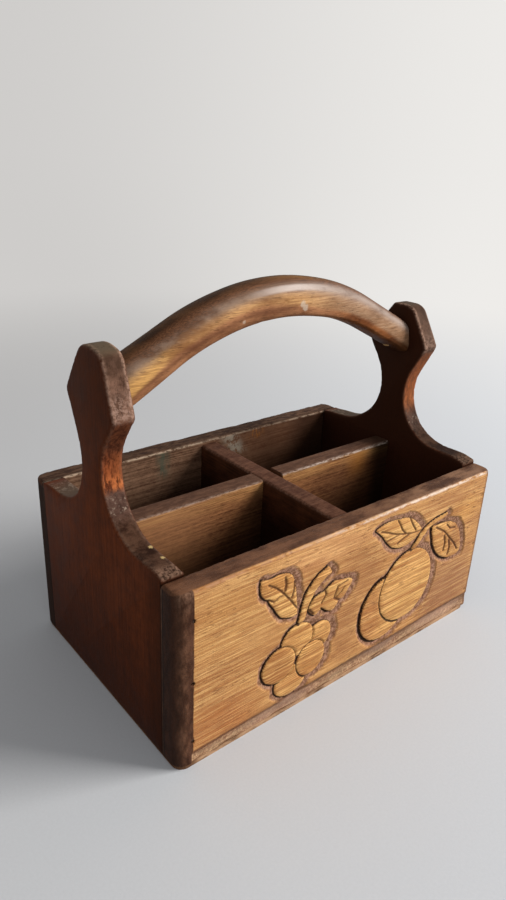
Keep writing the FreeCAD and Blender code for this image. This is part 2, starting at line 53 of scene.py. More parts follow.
LATTICE = 64  # cells after which a noise repeats
TINY = 1e-12  # keeps a division away from 0
SHARP_ANGLE = math.radians(50)


# Numbers and curves -------------------------------------------------------------------------------

def box_mm(node):
    """Lowest and highest corner of a CAD node in millimetres."""
    return [[round(float(part) / MM, 4) for part in corner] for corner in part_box(node)]


(_, WALL_INSIDE, WALL_FOOT), (WALL_END, WALL_OUTSIDE, WALL_TOP) = box_mm("back_board")
EAR_INSIDE = box_mm("right_end_board")[0][0]
DIVIDER_TOP = box_mm("long_divider")[1][2]
BOW_LOW, BOW_HIGH = box_mm("bow_handle")


def ease(value, low, high):
    """0 below low, 1 above high and 3t^2 - 2t^3 between; low may be the larger number."""
    t = np.clip((value - low) / (high - low), 0, 1)
    return t * t * (3 - 2 * t)


def bell(value, width):
    """exp(-(value / width)^2)"""
    return np.exp(-(value / width) ** 2)


def noise(points, cell, seed):
    """Smooth random numbers in -1..1 at points (..., n): a lattice of random values, cell mm apart,
    blended between its corners by 3t^2 - 2t^3 along each axis."""
    place = np.asarray(points, float) / cell
    whole = np.floor(place).astype(int)
    part = place - whole
    blend = part * part * (3 - 2 * part)
    axes = place.shape[-1]
    table = np.random.default_rng(seed).uniform(-1, 1, (LATTICE,) * axes)
    total = np.zeros(place.shape[:-1])
    for corner in itertools.product((0, 1), repeat=axes):
        weight = np.prod(np.where(corner, blend, 1 - blend), axis=-1)
        spot = (whole + np.array(corner)) % LATTICE
        total += weight * table[tuple(np.moveaxis(spot, -1, 0))]
    return total


def stations(*stretches):
    """Sorted places along an axis from (start, stop, step) stretches."""
    parts = [np.linspace(a, b, max(2, int(round((b - a) / step)) + 1)) for a, b, step in stretches]
    return np.unique(np.round(np.concatenate(parts), 5))


def together(*arrays):
    """Arrays spread to one shape and stacked as the coordinates of points."""
    return np.stack(np.broadcast_arrays(*arrays), axis=-1)


def set_back(radius, past):
    """How far a rounding of some radius lies back: r - sqrt(r^2 - p^2) at p past its start."""
    return radius - np.sqrt(np.clip(radius ** 2 - past ** 2, 0, None))


def smooth_outline(corners, steps=8):
    """Closed Catmull-Rom curve through corners a, b, c, d:
    p(t) = (2b + (c - a)t + (2a - 5b + 4c - d)t^2 + (3b - a - 3c + d)t^3) / 2."""
    b = np.array(corners, float)
    a, c, d = (np.roll(b, shift, axis=0) for shift in (1, -1, -2))
    t = (np.arange(steps) / steps)[None, :, None]
    a, b, c, d = (p[:, None, :] for p in (a, b, c, d))
    curve = 2 * b + (c - a) * t + (2 * a - 5 * b + 4 * c - d) * t ** 2 + (3 * b - a - 3 * c + d) * t ** 3
    return (curve / 2).reshape(-1, 2)


def distance_to_path(u, v, path):
    """Distance from every (u, v) to a path of straight pieces."""
    nearest = np.full(u.shape, np.inf)
    for (au, av), (bu, bv) in zip(path[:-1], path[1:]):
        du, dv = bu - au, bv - av
        t = np.clip(((u - au) * du + (v - av) * dv) / (du * du + dv * dv + TINY), 0, 1)
        nearest = np.minimum(nearest, np.hypot(u - au - t * du, v - av - t * dv))
    return nearest


def signed_distance(u, v, outline):
    """Distance from every (u, v) to a closed outline, negative inside (odd number of crossings)."""
    closed = np.vstack([outline, outline[:1]])
    inside = np.zeros(u.shape, bool)
    for (au, av), (bu, bv) in zip(closed[:-1], closed[1:]):
        crosses = (av > v) != (bv > v)
        reach = au + (v - av) * (bu - au) / (bv - av + TINY)
        inside ^= crosses & (u < reach)
    away = distance_to_path(u, v, closed)
    return np.where(inside, -away, away)


# Meshes -------------------------------------------------------------------------------------------

def loft(name, rings, values, node):
    """Closed mesh from rings of points in mm, shape (stations, around, 3), with a flat cap at both ends.

    It stands for a CAD node, which it hides. values holds per-point numbers of
    shape (stations, around), which the materials read by name. Faces point outwards when a ring's area
    vector, the sum of p x next p, looks along the loft, so a ring that runs the other way is reversed.
    """
    count, around = rings.shape[:2]
    middle = rings[count // 2]
    area = np.cross(middle, np.roll(middle, -1, axis=0)).sum(axis=0)
    if area @ (rings[-1].mean(axis=0) - rings[0].mean(axis=0)) < 0:
        rings = rings[:, ::-1]
        values = {label: numbers[:, ::-1] for label, numbers in values.items()}
    station, turn = np.meshgrid(np.arange(count - 1), np.arange(around), indexing="ij")
    following = (turn + 1) % around
    quads = np.stack([station * around + turn, station * around + following,
                      (station + 1) * around + following, (station + 1) * around + turn], axis=-1)
    first_cap = np.arange(around)[::-1].tolist()
    last_cap = ((count - 1) * around + np.arange(around)).tolist()
    mesh = bpy.data.meshes.new(name)
    mesh.from_pydata((rings.reshape(-1, 3) * MM).tolist(), [],
                     quads.reshape(-1, 4).tolist() + [first_cap, last_cap])
    for label, numbers in values.items():
        attribute = mesh.attributes.new(label, "FLOAT", "POINT")
        attribute.data.foreach_set("value", np.ascontiguousarray(numbers, np.float32).reshape(-1))
    mesh.polygons.foreach_set("use_smooth", [True] * quads[..., 0].size + [False, False])
    mesh.set_sharp_from_angle(angle=SHARP_ANGLE)
    mesh.update()
    piece = bpy.data.objects.new(name, mesh)
    bpy.context.scene.collection.objects.link(piece)
    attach(piece, "root")
    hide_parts(node)
    return piece


# Carving of the front board: outlines in mm, x to the right and z above the ground ----------------

def fruit(x, z, across, up):
    """Outline of a round fruit: an ellipse with a slight third harmonic, as a knife leaves it."""
    angle = np.linspace(0, 2 * math.pi, 64, endpoint=False)
    reach = 1 + 0.012 * np.sin(3 * angle + x)
    return np.stack([x + across * reach * np.cos(angle), z + up * reach * np.sin(angle)], axis=1)


LEFT_STEM = smooth_outline((
    (-51, 66.5), (-50, 73), (-48.6, 80), (-46, 87), (-41.5, 92.5), (-36.4, 96.6), (-31, 98.8), (-28.4, 99.8),
    (-26.2, 97), (-25, 93.8), (-28.5, 92.6), (-33, 89.8), (-37.5, 85.8), (-40.5, 81.5), (-42.8, 77.5),
    (-44.2, 72.5), (-46, 67.5)))
LEFT_LEAF = smooth_outline((
    (-83, 110), (-76, 108.8), (-69, 109), (-63, 108), (-59, 105), (-56.5, 100.2), (-55.2, 94), (-54, 86),
    (-52.6, 78), (-53, 74.8), (-57, 74.2), (-61, 75.2), (-65.8, 77.4), (-69.2, 81.3), (-72.2, 86.5),
    (-75.5, 91), (-77.2, 94.4), (-80.2, 96.6), (-82.6, 100), (-83.4, 105)))
POINTED_LEAF = smooth_outline((
    (-43.2, 73.5), (-41.6, 77.6), (-38.5, 80.4), (-34, 81.8), (-29.8, 82), (-25.5, 84.6), (-20.9, 86.3),
    (-14.2, 84.8), (-8.5, 83.6), (-5, 81.8), (-5.2, 78.6), (-7.8, 75.4), (-11.5, 70.8), (-15.3, 69.4),
    (-17.2, 67.8), (-19, 65.4), (-22, 64), (-26.5, 65.6), (-30, 68.4), (-33, 68.6), (-36.4, 66.8),
    (-39.6, 68.4), (-42.2, 71)))
RIGHT_STEM = smooth_outline((
    (54.3, 82.5), (57, 86), (61, 90.5), (65, 94.6), (70, 97.4), (77, 99.4), (84, 100.2), (89, 100.8),
    (91, 101.4), (92.4, 98.8), (89, 97.6), (84, 96.6), (78, 95.6), (72, 94), (68, 90.5), (64.5, 87),
    (60.5, 83)))
UPPER_LEAF = smooth_outline((
    (13.6, 110.8), (20.8, 113.2), (28.3, 113.6), (36, 112.6), (44.5, 111.2), (50.8, 108.2), (55.8, 104.5),
    (60.8, 99.6), (63, 96), (59.5, 92.4), (53.3, 89.5), (45.8, 88.1), (38.3, 89.2), (32, 92), (26.4, 97),
    (20.8, 103.9), (15.5, 108.6)))
ROUND_LEAF = smooth_outline((
    (76.6, 94), (82, 93.4), (89, 93.2), (96, 92), (103.5, 88.6), (109, 83.2), (112.6, 76.5), (114.8, 69),
    (115.4, 63), (113.4, 59.8), (107, 59), (99.5, 60), (92, 63.6), (85, 69.5), (80, 77), (77.6, 84.5),
    (76, 90)))
SHAPES = (  # outline, width of its dark left line, a stained cut widened by painted shadow, and of its moat, from the lowest layer to the topmost
    (fruit(-32.2, 49, 11.4, 11), 1.0, 4), (fruit(-50.6, 54, 13.2, 12.4), 1.5, 3.5),
    (fruit(-54.4, 24.6, 13.8, 11.4), 1.1, 4), (fruit(-37.6, 34.2, 12.5, 13), 1.0, 4),
    (fruit(-65, 41, 13.7, 13), 1.6, 4),
    (LEFT_STEM, 1.7, 2.8), (LEFT_LEAF, 1.3, 3.4), (POINTED_LEAF, 1.3, 3.6),
    (fruit(33, 43, 25, 25.6), 2.7, 4.2), (fruit(54.3, 53.7, 27.9, 28.6), 1.5, 4.2),
    (RIGHT_STEM, 1.6, 2.2), (UPPER_LEAF, 1.0, 3.8), (ROUND_LEAF, 2.1, 3.4),
)
VEINS = (  # width and path of each knife cut across the leaves
    (0.7, ((-77.5, 105), (-70.8, 100.2), (-65.3, 94.7), (-59.8, 88), (-53.6, 79.6))),
    (1.2, ((-64.8, 105.2), (-63.8, 100.5), (-64.4, 96.5))),
    (0.8, ((-56.9, 99.7), (-57, 93.8), (-58.6, 89.2))),
    (0.6, ((-76.8, 94.6), (-72.5, 91.4), (-68.5, 93.6), (-65.6, 93.2))),
    (1.0, ((-43, 73.3), (-38.8, 68.8))),
    (0.9, ((-29.2, 82), (-28.4, 79), (-32, 74.2))),
    (0.6, ((-32.4, 70.4), (-28.5, 67), (-25.3, 64.4))),
    (0.9, ((-18.2, 81), (-19.8, 76.4), (-20.9, 73.4), (-15.6, 69.6))),
    (0.6, ((-17.8, 81.2), (-13, 81.6), (-9.4, 82.4))),
    (0.6, ((-18.7, 73.6), (-14.4, 75.8), (-12, 78.6))),
    (0.6, ((19, 108.2), (27, 104.8), (34.5, 101.4), (43.3, 98.9), (52, 96.6), (61.5, 95.6))),
    (0.7, ((35.1, 111.8), (38, 107.4), (40.8, 102.6), (44.5, 99.4))),
    (0.7, ((48.3, 109.2), (52, 103), (56, 97.8))),
    (0.6, ((25.6, 98.9), (32, 99.4), (38.5, 100))),
    (0.9, ((37.4, 93.2), (43.3, 95.6), (48.8, 96.6))),
    (0.8, ((80.5, 91.6), (86, 88.4), (92, 84.5), (99.5, 77), (105.8, 70.8), (111, 64))),
    (1.2, ((92, 81.2), (93.9, 75.5), (93.7, 68.5))),
    (1.2, ((98.7, 75.6), (100.8, 69.8), (100, 63.4))),
    (0.6, ((93, 90.4), (97.6, 86), (104, 84.6))),
)
FAR = 9.0  # distance of what lies beyond every outline
MOAT_EXTRA = 1.8
GROOVE_DEPTH = 1.3
GROOVE_WIDTH = 1.6
VEIN_DEPTH = 0.9


def carving(x, z):
    """Depth of the carving in mm at every (x, z), and the distances that its stain and its painted shadow
    follow.

    Each shape keeps the board's face, and its rim falls off by 0.6 exp(d / 1.6) with d the distance
    inside its outline. Where it crosses a lower shape a narrow groove (1 - d / width)^1.4 runs round
    it. Where it meets the ground the cut is a moat of 0.8 mm and 0.5 mm per mm of dark width, that
    rises by 0.5 d / width to a ragged outer step, wider on the right side. Knife cuts across the
    leaves are exp(-(d / width)^2). The distances are to the nearest outline, to the moat's outer step,
    to the nearest dark line beside a shape and to the nearest knife cut, all negative inside. That dark
    line is a stained cut 0.2 mm wide, widened by painted shadow on the shapes' left sides.
    """
    depth = np.zeros(x.shape)
    figure = np.zeros(x.shape, bool)
    shape, moat, crease, vein = (np.full(x.shape, FAR) for _ in range(4))
    place = np.stack([x, z], axis=-1)
    ragged = 0.55 * noise(place, 6, 31) + 0.3 * noise(place, 2.2, 32)
    for outline, dark_width, moat_width in SHAPES:
        near = signed_distance(x, z, outline) + 0.15 * noise(place, 4, 33)
        slope_x = np.gradient(near, x[0], axis=1)
        inside = near < 0
        width = moat_width + MOAT_EXTRA * ease(slope_x, -0.2, 0.9) + ragged
        deepest = 0.8 + 0.5 * dark_width
        ground_cut = deepest * (1 - 0.5 * near / width) * ease(near, width + 0.7, width - 0.5)
        groove = GROOVE_DEPTH * np.clip(1 - near / GROOVE_WIDTH, 0, 1) ** 1.4
        cut = np.where(figure, groove, ground_cut)
        depth = np.where(inside, 0.6 * np.exp(near / 1.6), np.maximum(depth, cut))
        # painted shadow: the dark line widens on the shapes' left sides, whose walls face away from the light
        left_side = ease(-slope_x, -0.3, 0.5)
        line_width = 0.2 + 0.64 * dark_width * left_side
        dark = np.abs(near - line_width / 2) - line_width / 2
        crease = np.where(inside, dark, np.minimum(crease, dark))
        moat = np.minimum(moat, near - width)
        shape = np.minimum(shape, near)
        figure |= inside
    for width, path in VEINS:
        away = distance_to_path(x, z, path)
        depth += VEIN_DEPTH * bell(away, width)
        vein = np.minimum(vein, away - 0.8 * width)
    return depth, {"shape": shape, "moat": moat, "crease": crease, "vein": vein}


# Front and back boards ----------------------------------------------------------------------------

WALL_THICK = WALL_OUTSIDE - WALL_INSIDE
LEFT_RADIUS, RIGHT_RADIUS = 8, 5.5  # of the outer corners in plan
TOP_RADIUS = 2
CAP_RING = 1.2  # from a board's end to the ring beside its cap
CARVED = (-89, 122)
CARVING_STEP = 0.6
BAND_EDGE = -129  # x where the stained left corner ends
LIP_TOP = 11.9
LIP_RISE = 3.7
LIP_SLOPE = 4.2
LIP_DEPTH = 1.5
NAIL_LEVELS = (19, 61, 103)
NAIL_PLACES = (-129.5, 133)
NAIL_REACH = 1.0
NAIL_SINK = 1.0
RIGHT_NAILS = 0.42  # share of that depth left on the right of the front, where they are filled


def wall_section(upwards):
    """Heights of the outer face's points, then the depth and height of all points round the section."""
    face = np.concatenate([upwards, (WALL_TOP - TOP_RADIUS,)])
    over, under = (np.radians(np.linspace(*turn, 6)) for turn in ((12, 90), (90, 0)))
    parts = (
        (np.zeros(len(face)), face),
        (TOP_RADIUS * (1 - np.cos(over)), WALL_TOP - TOP_RADIUS * (1 - np.sin(over))),
        (np.linspace(4, WALL_THICK - 3, 6), np.full(6, WALL_TOP)),
        (WALL_THICK - TOP_RADIUS * (1 - np.cos(under)), WALL_TOP - TOP_RADIUS * (1 - np.sin(under))),
        (np.full(9, WALL_THICK), np.linspace(WALL_TOP - 3.5, WALL_FOOT, 9)),
        ((WALL_THICK * 0.66, WALL_THICK * 0.33), (WALL_FOOT, WALL_FOOT)))
    return (face, *(np.concatenate(part) for part in zip(*parts)))


def arris_wear(station, inward, level):
    """How far a wall's faces go in and its top comes down near the top arrises.

    The outer arris is rubbed by 0.35 (1 + noise) and chipped where finer noises are above 0, the inner
    one is only chipped, and the top sways by 0.25 (1 + noise).
    """
    near_top = ease(level, WALL_TOP - 5, WALL_TOP)
    outer = near_top * ease(inward, 6, 1)
    inner = near_top * ease(inward, WALL_THICK - 6, WALL_THICK - 1)
    along = station[..., None]
    chips = np.clip(noise(along, 7, 11) + 0.6 * noise(along, 2.3, 12), 0, 1)
    worn = (0.35 * (1 + noise(along, 19, 10)) + chips) * outer
    inner_worn = np.clip(noise(along + 400, 9, 13) + 0.7 * noise(along, 2.7, 14), 0, 1) * inner
    sway = 0.25 * (1 + noise(along, 45, 15)) * ease(level, WALL_TOP - 20, WALL_TOP)
    return 0.4 * worn - 0.25 * inner_worn, 0.3 * worn + 0.22 * inner_worn + sway


def long_wall(name, node, outer_sign, lengthwise, upwards, relief):
    """Front or back board as a loft along x.

    The closed section runs up the outer face, over the rounded top, down the inner face and along the
    foot. The outer corners are quarter circles in plan, and relief gives how far each point of the outer
    face lies below it, with the numbers for the material. The top arrises are chipped by a noise.
    """
    short = 1 - np.sin(np.radians(np.linspace(0, 90, 7)))
    x = np.unique(np.round(np.concatenate([
        LEFT_RADIUS * short - WALL_END, lengthwise, WALL_END - RIGHT_RADIUS * short,
        (CAP_RING - WALL_END, WALL_END - CAP_RING)]), 4))
    face, inward, level = wall_section(upwards)
    rows = len(face)
    station, depth = np.meshgrid(x, inward, indexing="ij")
    height = np.broadcast_to(level, station.shape).copy()
    radius = np.where(station < 0, LEFT_RADIUS, RIGHT_RADIUS)
    corner_back, end_drop = (
        set_back(round_off, np.clip(np.abs(station) - (WALL_END - round_off), 0, round_off))
        for round_off in (radius, TOP_RADIUS))
    height -= end_drop * ease(height, WALL_TOP - 9, WALL_TOP)
    sunk, numbers = relief(x, face, np.stack([station, height], axis=-1)[:, :rows])
    down, drop = arris_wear(station, inward, level)
    down[:, :rows] += sunk
    into_board = corner_back * (1 - depth / WALL_THICK) + depth + down
    rings = np.stack([station, outer_sign * (WALL_OUTSIDE - into_board), height - drop], axis=-1)
    values = {label: np.full(station.shape, 0.0 if label.startswith("lip") else FAR) for label in numbers}
    for label, part in numbers.items():
        values[label][:, :rows] = part
    return loft(name, rings, values, node)


def nail_holes(plane):
    """Punched hollows over the corner nails, 0 to 1."""
    holes = np.zeros(plane.shape[:-1])
    for place, up in itertools.product(NAIL_PLACES, NAIL_LEVELS):
        near = np.hypot(plane[..., 0] - place, plane[..., 1] - up)
        holes = np.maximum(holes, ease(near, NAIL_REACH + 0.7, NAIL_REACH))
    return holes


def carved_relief(x, face, plane):
    """Carving, sloped lip, nail hollows and tool marks of the front.

    The lip goes in by its depth over an eased slope below a level that rises to the right, which two
    noises make uneven, and it fades out towards the right end. Its lower arris is nicked. A band of
    painted shadow lies along its upper step.
    """
    cut, gaps = carving(*np.meshgrid(x, face))
    cut = cut.T
    gaps = {label: gap.T for label, gap in gaps.items()}
    figure = ease(gaps["shape"], 0.2, -0.2)
    moat = ease(gaps["moat"], 0.4, -0.4) * (1 - figure)
    along, up = np.moveaxis(plane, -1, 0)
    lip_level = LIP_TOP + LIP_RISE * (along / WALL_END + 1) / 2
    lip_level = lip_level + 0.5 * noise(plane, 17, 5) + 0.25 * noise(plane, 3.5, 6)
    golden = ease(along, BAND_EDGE - 2, BAND_EDGE + 0.5)
    lip = ease(up, lip_level, lip_level - LIP_SLOPE) * golden
    # painted shadow along the lip's upper step, where its slope faces down
    lip_step_shadow = bell(up - lip_level + 1.2, 1.7) * golden
    hacked = 1 + 0.3 * noise(plane * (0.25, 1), 2.6, 18) - 0.75 * ease(along, WALL_END - 11, WALL_END - 2)
    nicks = np.clip(noise(plane, 2.6, 17) - 0.45, 0, 1) * ease(up, 4.5, 0.5) * 1.4
    strokes = plane * (0.12, 1)
    tool_marks = 0.16 * noise(plane, 2.0, 7) * moat + 0.10 * noise(strokes, 1.1, 9) * figure
    tool_marks = tool_marks + 0.12 * noise(plane, 31, 8) + 0.05 * noise(strokes, 1.4, 19)
    holes = nail_holes(plane) * np.where(along > 0, RIGHT_NAILS, 1.0)
    sunk = cut + LIP_DEPTH * lip * hacked + NAIL_SINK * holes + np.maximum(tool_marks, -cut) + nicks
    gaps["crease"] = np.minimum(gaps["crease"], 1.2 - 2.4 * holes)
    return sunk.clip(0), {**gaps, "lip": lip, "lip_step_shadow": lip_step_shadow}


def plain_relief(_x, _face, plane):
    """Gentle plane marks and nail hollows of the back."""
    holes = nail_holes(plane)
    marks = 0.1 * (1 + noise(plane, 37, 41)) + 0.06 * (1 + noise(plane * (0.1, 1), 1.6, 42))
    return NAIL_SINK * holes + marks, {"crease": 1.2 - 2.4 * holes}


def long_walls():
    """The carved front and the plain back."""
    fine = np.concatenate([
        stations((-132, BAND_EDGE + 1.5, 0.6)), stations((BAND_EDGE + 1.5, CARVED[0], 1.6)),
        stations((*CARVED, CARVING_STEP)), stations((CARVED[1], 134, 1))])
    rows = stations((WALL_FOOT, 9, 1.2), (9, 117, CARVING_STEP), (117, 119.5, 0.9))
    front = long_wall("carved_board", "front_board", -1, fine, rows, carved_relief)
    coarse = stations((-132, -124, 0.7), (-124, 128, 1.5), (128, 134, 0.7))
    steps = stations((WALL_FOOT, 16, 1.2), (16, 119.5, 1.5))
    back = long_wall("back_wall", "back_board", 1, coarse, steps, plain_relief)
    return front, back


# End boards with their ears -----------------------------------------------------------------------

EAR_MIDDLE = 1
NECK_HALF = 12.5
SCOOP = 36
EAR_ROUNDING = 2.2
LEAST_ROUNDING = 0.3
EAR_POINTS = 620
HEAD_EASING = 3.2
ARRIS_DEPTH = 3.4
ARRIS_STEPS = np.array((0, 0.08, 0.2, 0.36, 0.56, 0.78, 1))  # shares of that depth
EARS = {  # y from the ear's middle and height above the walls' top, front to back over the head
    "left": {"rises": (3, 2), "head": ((-29.5, 73.5), (-18.5, 107), (-13.5, 110), (-4, 111.5), (4, 111),
                                       (9.5, 107.5), (27.5, 80))},
    "right": {"rises": (5, 5), "head": ((-28, 79.5), (-12, 106), (-6, 109), (9, 109), (29, 77.5))},
}
SHOULDER_WEAR = {  # y, reach along y and drop of the hollows worn into the shoulders
    "left": ((-75, 5, 0.8), (75, 6, 0.8)), "right": ((-77, 9, 2.6), (47, 12, 1.4)),
}


def touching_angle(centre, point, side):
    """Angle on the scoop's circle where the line from an outside point touches it."""
    dy, dz = point[0] - centre[0], point[1] - centre[1]
    return math.atan2(dz, dy) + side * math.acos(SCOOP / math.hypot(dy, dz))


def scoop(centre, start, finish):
    """Arc points c + r (cos a, sin a)."""
    angle = np.linspace(start, finish, 40)
    return np.stack([centre[0] + SCOOP * np.cos(angle), centre[1] + SCOOP * np.sin(angle)], axis=1)


def ear_outline(side):
    """Closed outline (y, z) of an end board at even steps: foot, shoulders, scoops, neck and head.

    The head's corners are eased by a Gaussian blur of the outline, exp(-(s / 3.2)^2) along its length,
    and hollows exp(-((y - place) / reach)^2) are worn into the shoulders.
    """
    front_rise, back_rise = EARS[side]["rises"]
    head = np.array(EARS[side]["head"], float) + (EAR_MIDDLE, WALL_TOP)
    front_centre = (EAR_MIDDLE - NECK_HALF - SCOOP, WALL_TOP + front_rise + SCOOP)
    back_centre = (EAR_MIDDLE + NECK_HALF + SCOOP, WALL_TOP + back_rise + SCOOP)
    back_shoulder = (WALL_INSIDE, WALL_TOP)
    shoulder_touch = touching_angle(back_centre, back_shoulder, -1) + 2 * math.pi
    corners = np.concatenate([
        ((-WALL_INSIDE, WALL_FOOT), (-WALL_INSIDE, WALL_TOP + front_rise)),
        scoop(front_centre, math.radians(-90), touching_angle(front_centre, head[0], -1)), head,
        scoop(back_centre, touching_angle(back_centre, head[-1], 1), shoulder_touch),
        (back_shoulder, (WALL_INSIDE, WALL_FOOT), (-WALL_INSIDE, WALL_FOOT))])
    length = np.concatenate([(0,), np.cumsum(np.hypot(*np.diff(corners, axis=0).T))])
    even, step = np.linspace(0, length[-1], EAR_POINTS, endpoint=False, retstep=True)
    path = np.stack([np.interp(even, length, corners[:, k]) for k in (0, 1)], axis=1)
    shifts = range(-9, 10)
    weights = [bell(k * step, HEAD_EASING) for k in shifts]
    soft = sum(weight * np.roll(path, k, axis=0) for weight, k in zip(weights, shifts)) / sum(weights)
    share = ease(path[:, 1], 150, 175)[:, None]
    shape = path * (1 - share) + soft * share
    for place, reach, drop in SHOULDER_WEAR[side]:
        free = ease(shape[:, 1], WALL_TOP - 2, WALL_TOP + 0.5) * ease(shape[:, 1], 142, 130)
        shape[:, 1] -= drop * bell(shape[:, 0] - place, reach) * free
    return shape


def end_board(side):
    """End board as a loft across its thickness, the outline inset by r - sqrt(r^2 - (r - t)^2) at a
    distance t from each face, with r rubbed away unevenly above the walls."""
    outline = ear_outline(side)
    y, z = outline[:, :1], outline[:, 1:]
    along = np.roll(outline, -1, axis=0) - np.roll(outline, 1, axis=0)
    along /= np.hypot(*along.T)[:, None]
    thick = WALL_END - EAR_INSIDE
    across = np.concatenate([
        ARRIS_STEPS * ARRIS_DEPTH, np.linspace(ARRIS_DEPTH + 1, thick - ARRIS_DEPTH - 1, 7),
        thick - ARRIS_STEPS[::-1] * ARRIS_DEPTH])
    from_face = np.minimum(across, thick - across)
    first_face, seed = (-WALL_END, 50) if side == "left" else (EAR_INSIDE, 60)
    free = ease(z, WALL_TOP - 1, WALL_TOP + 2) * ease(np.abs(z - WALL_TOP) + WALL_INSIDE - np.abs(y), 0, 2.5)
    corner = together(np.where(across > thick / 2, 90.0, 0.0), y, z)
    surface = together(across, y, z)
    chips = np.clip(noise(corner, 6, seed) + 0.8 * noise(corner, 2.2, seed + 1) - 0.15, 0, 1)
    uneven = 0.35 * noise(corner, 23, seed + 2) + 0.7 * chips
    rounding = LEAST_ROUNDING + free * (EAR_ROUNDING - LEAST_ROUNDING + uneven)
    rubbed = 0.3 + 0.22 * noise(surface, 14, seed + 3) + 0.05 * noise(surface, 3, seed + 4)
    inset = set_back(rounding, np.clip(rounding - from_face, 0, None)) + free * rubbed
    rings = together(first_face + across, y + along[:, 1:] * inset, z - along[:, :1] * inset)
    rim = ease(from_face, 0, rounding * 0.5) * ease(from_face, rounding * 1.5, rounding * 0.7)
    return loft(f"{side}_ear_board", rings.transpose(1, 0, 2), {"rim": rim.T},
                f"{side}_end_board")


# Bow handle ---------------------------------------------------------------------------------------

BOW_ROUNDNESS = 0.87
BOW_THICKNESS = 26.5
BOW_END_TOP = 220
BELLY_ENDS = (188, 194)
BOW_REACH = 14  # from the middle of the section to its surface, about
LEFT_SECTION = (  # towards the front in half widths, up in half heights
    (-1, 0), (-0.92, 0.55), (-0.6, 0.9), (0, 1), (0.48, 0.86), (0.82, 0.55), (0.96, 0.2), (1, -0.2),
    (0.94, -0.52), (0.72, -0.84), (0.4, -0.98), (-0.4, -0.97), (-0.9, -0.62))
RIGHT_SECTION = (
    (-1, 0), (-0.92, 0.55), (-0.6, 0.92), (0, 1), (0.5, 0.88), (0.82, 0.58), (0.94, 0.2), (0.99, -0.3),
    (0.98, -0.66), (0.9, -0.86), (0.55, -0.97), (-0.4, -0.98), (-0.9, -0.62))
RIDGE_AT = math.atan2(0.55, 0.82)
RIDGE_WIDTH = 0.3


def bow_curve(x, crown, end, half):
    """Height of one side of the bow: a circle of 0.87 of the radius that would reach the ends, then its
    two tangents: z = c + sqrt(R^2 - x^2) up to the touching point, a straight line after it."""
    rise = crown - end
    radius = BOW_ROUNDNESS * (half ** 2 + rise ** 2) / (2 * rise)
    centre = crown - radius
    reach = math.atan2(end - centre, half) + math.acos(radius / math.hypot(half, end - centre))
    touch_x, touch_z = radius * math.cos(reach), centre + radius * math.sin(reach)
    away = np.abs(x)
    on_arc = centre + np.sqrt(radius ** 2 - np.minimum(away, touch_x) ** 2)
    run = touch_z + (end - touch_z) * (away - touch_x) / (half - touch_x)
    return np.where(away <= touch_x, on_arc, run)


def bow_handle():
    """Bow as a loft along x: the whittled section, scaled between the top and belly curves.

    Three noises take up to 8 % off the section, as a knife does, and the last 1.6 mm shrink by 4 %.
    """
    half, _, crown = BOW_HIGH
    x = stations((-half, 2 - half, 0.5), (2 - half, half - 2, 1.7), (half - 2, half, 0.5))
    top = bow_curve(x, crown, BOW_END_TOP, half)
    left_belly, right_belly = (bow_curve(x, crown - BOW_THICKNESS, end, half) for end in BELLY_ENDS)
    belly = np.where(x < 0, left_belly, right_belly)
    left, right = (smooth_outline(section, steps=6) for section in (LEFT_SECTION, RIGHT_SECTION))
    share = ease(x, -50, 50)[:, None, None]
    fore, up = np.moveaxis(left * (1 - share) + right * share, -1, 0)
    station = x[:, None]
    around = together(station, fore * BOW_REACH, up * BOW_REACH)
    size = 1 - 0.012 * (1 + noise(around, 26, 21)) - 0.016 * (1 + noise(around * (0.35, 1, 1), 9, 22))
    size = size - 0.05 * np.clip(noise(around, 5, 23) - 0.55, 0, 1)
    size = size * (1 - 0.04 * ease(np.abs(station), half - 1.6, half))
    middle_y, half_width = (BOW_LOW[1] + BOW_HIGH[1]) / 2, (BOW_HIGH[1] - BOW_LOW[1]) / 2
    middle_z, half_height = ((top + belly) / 2)[:, None], ((top - belly) / 2)[:, None]
    rings = together(station, middle_y - half_width * fore * size, middle_z + half_height * up * size)
    # where the painted sheen lies round the section
    ridge = bell(np.arctan2(up, fore) - RIDGE_AT, RIDGE_WIDTH)
    return loft("whittled_bow", rings, {"fore": fore, "up": up, "ridge": ridge}, "bow_handle")


# Shader maths -------------------------------------------------------------------------------------

BUMP_STRENGTH = 0.6
WARM_GLOSS = (1.0, 0.8, 0.62)  # tint of the shine, linear
RAGGED = 2.4  # how far noise moves the rims of spots, mm


def paint(red, green, blue):
    """Linear colour from one that is written as it looks on a screen, 0 to 255."""
    return tuple(((part / 255) + 0.055) ** 2.4 / 1.055 ** 2.4 if part > 10 else part / 255 / 12.92
                 for part in (red, green, blue))


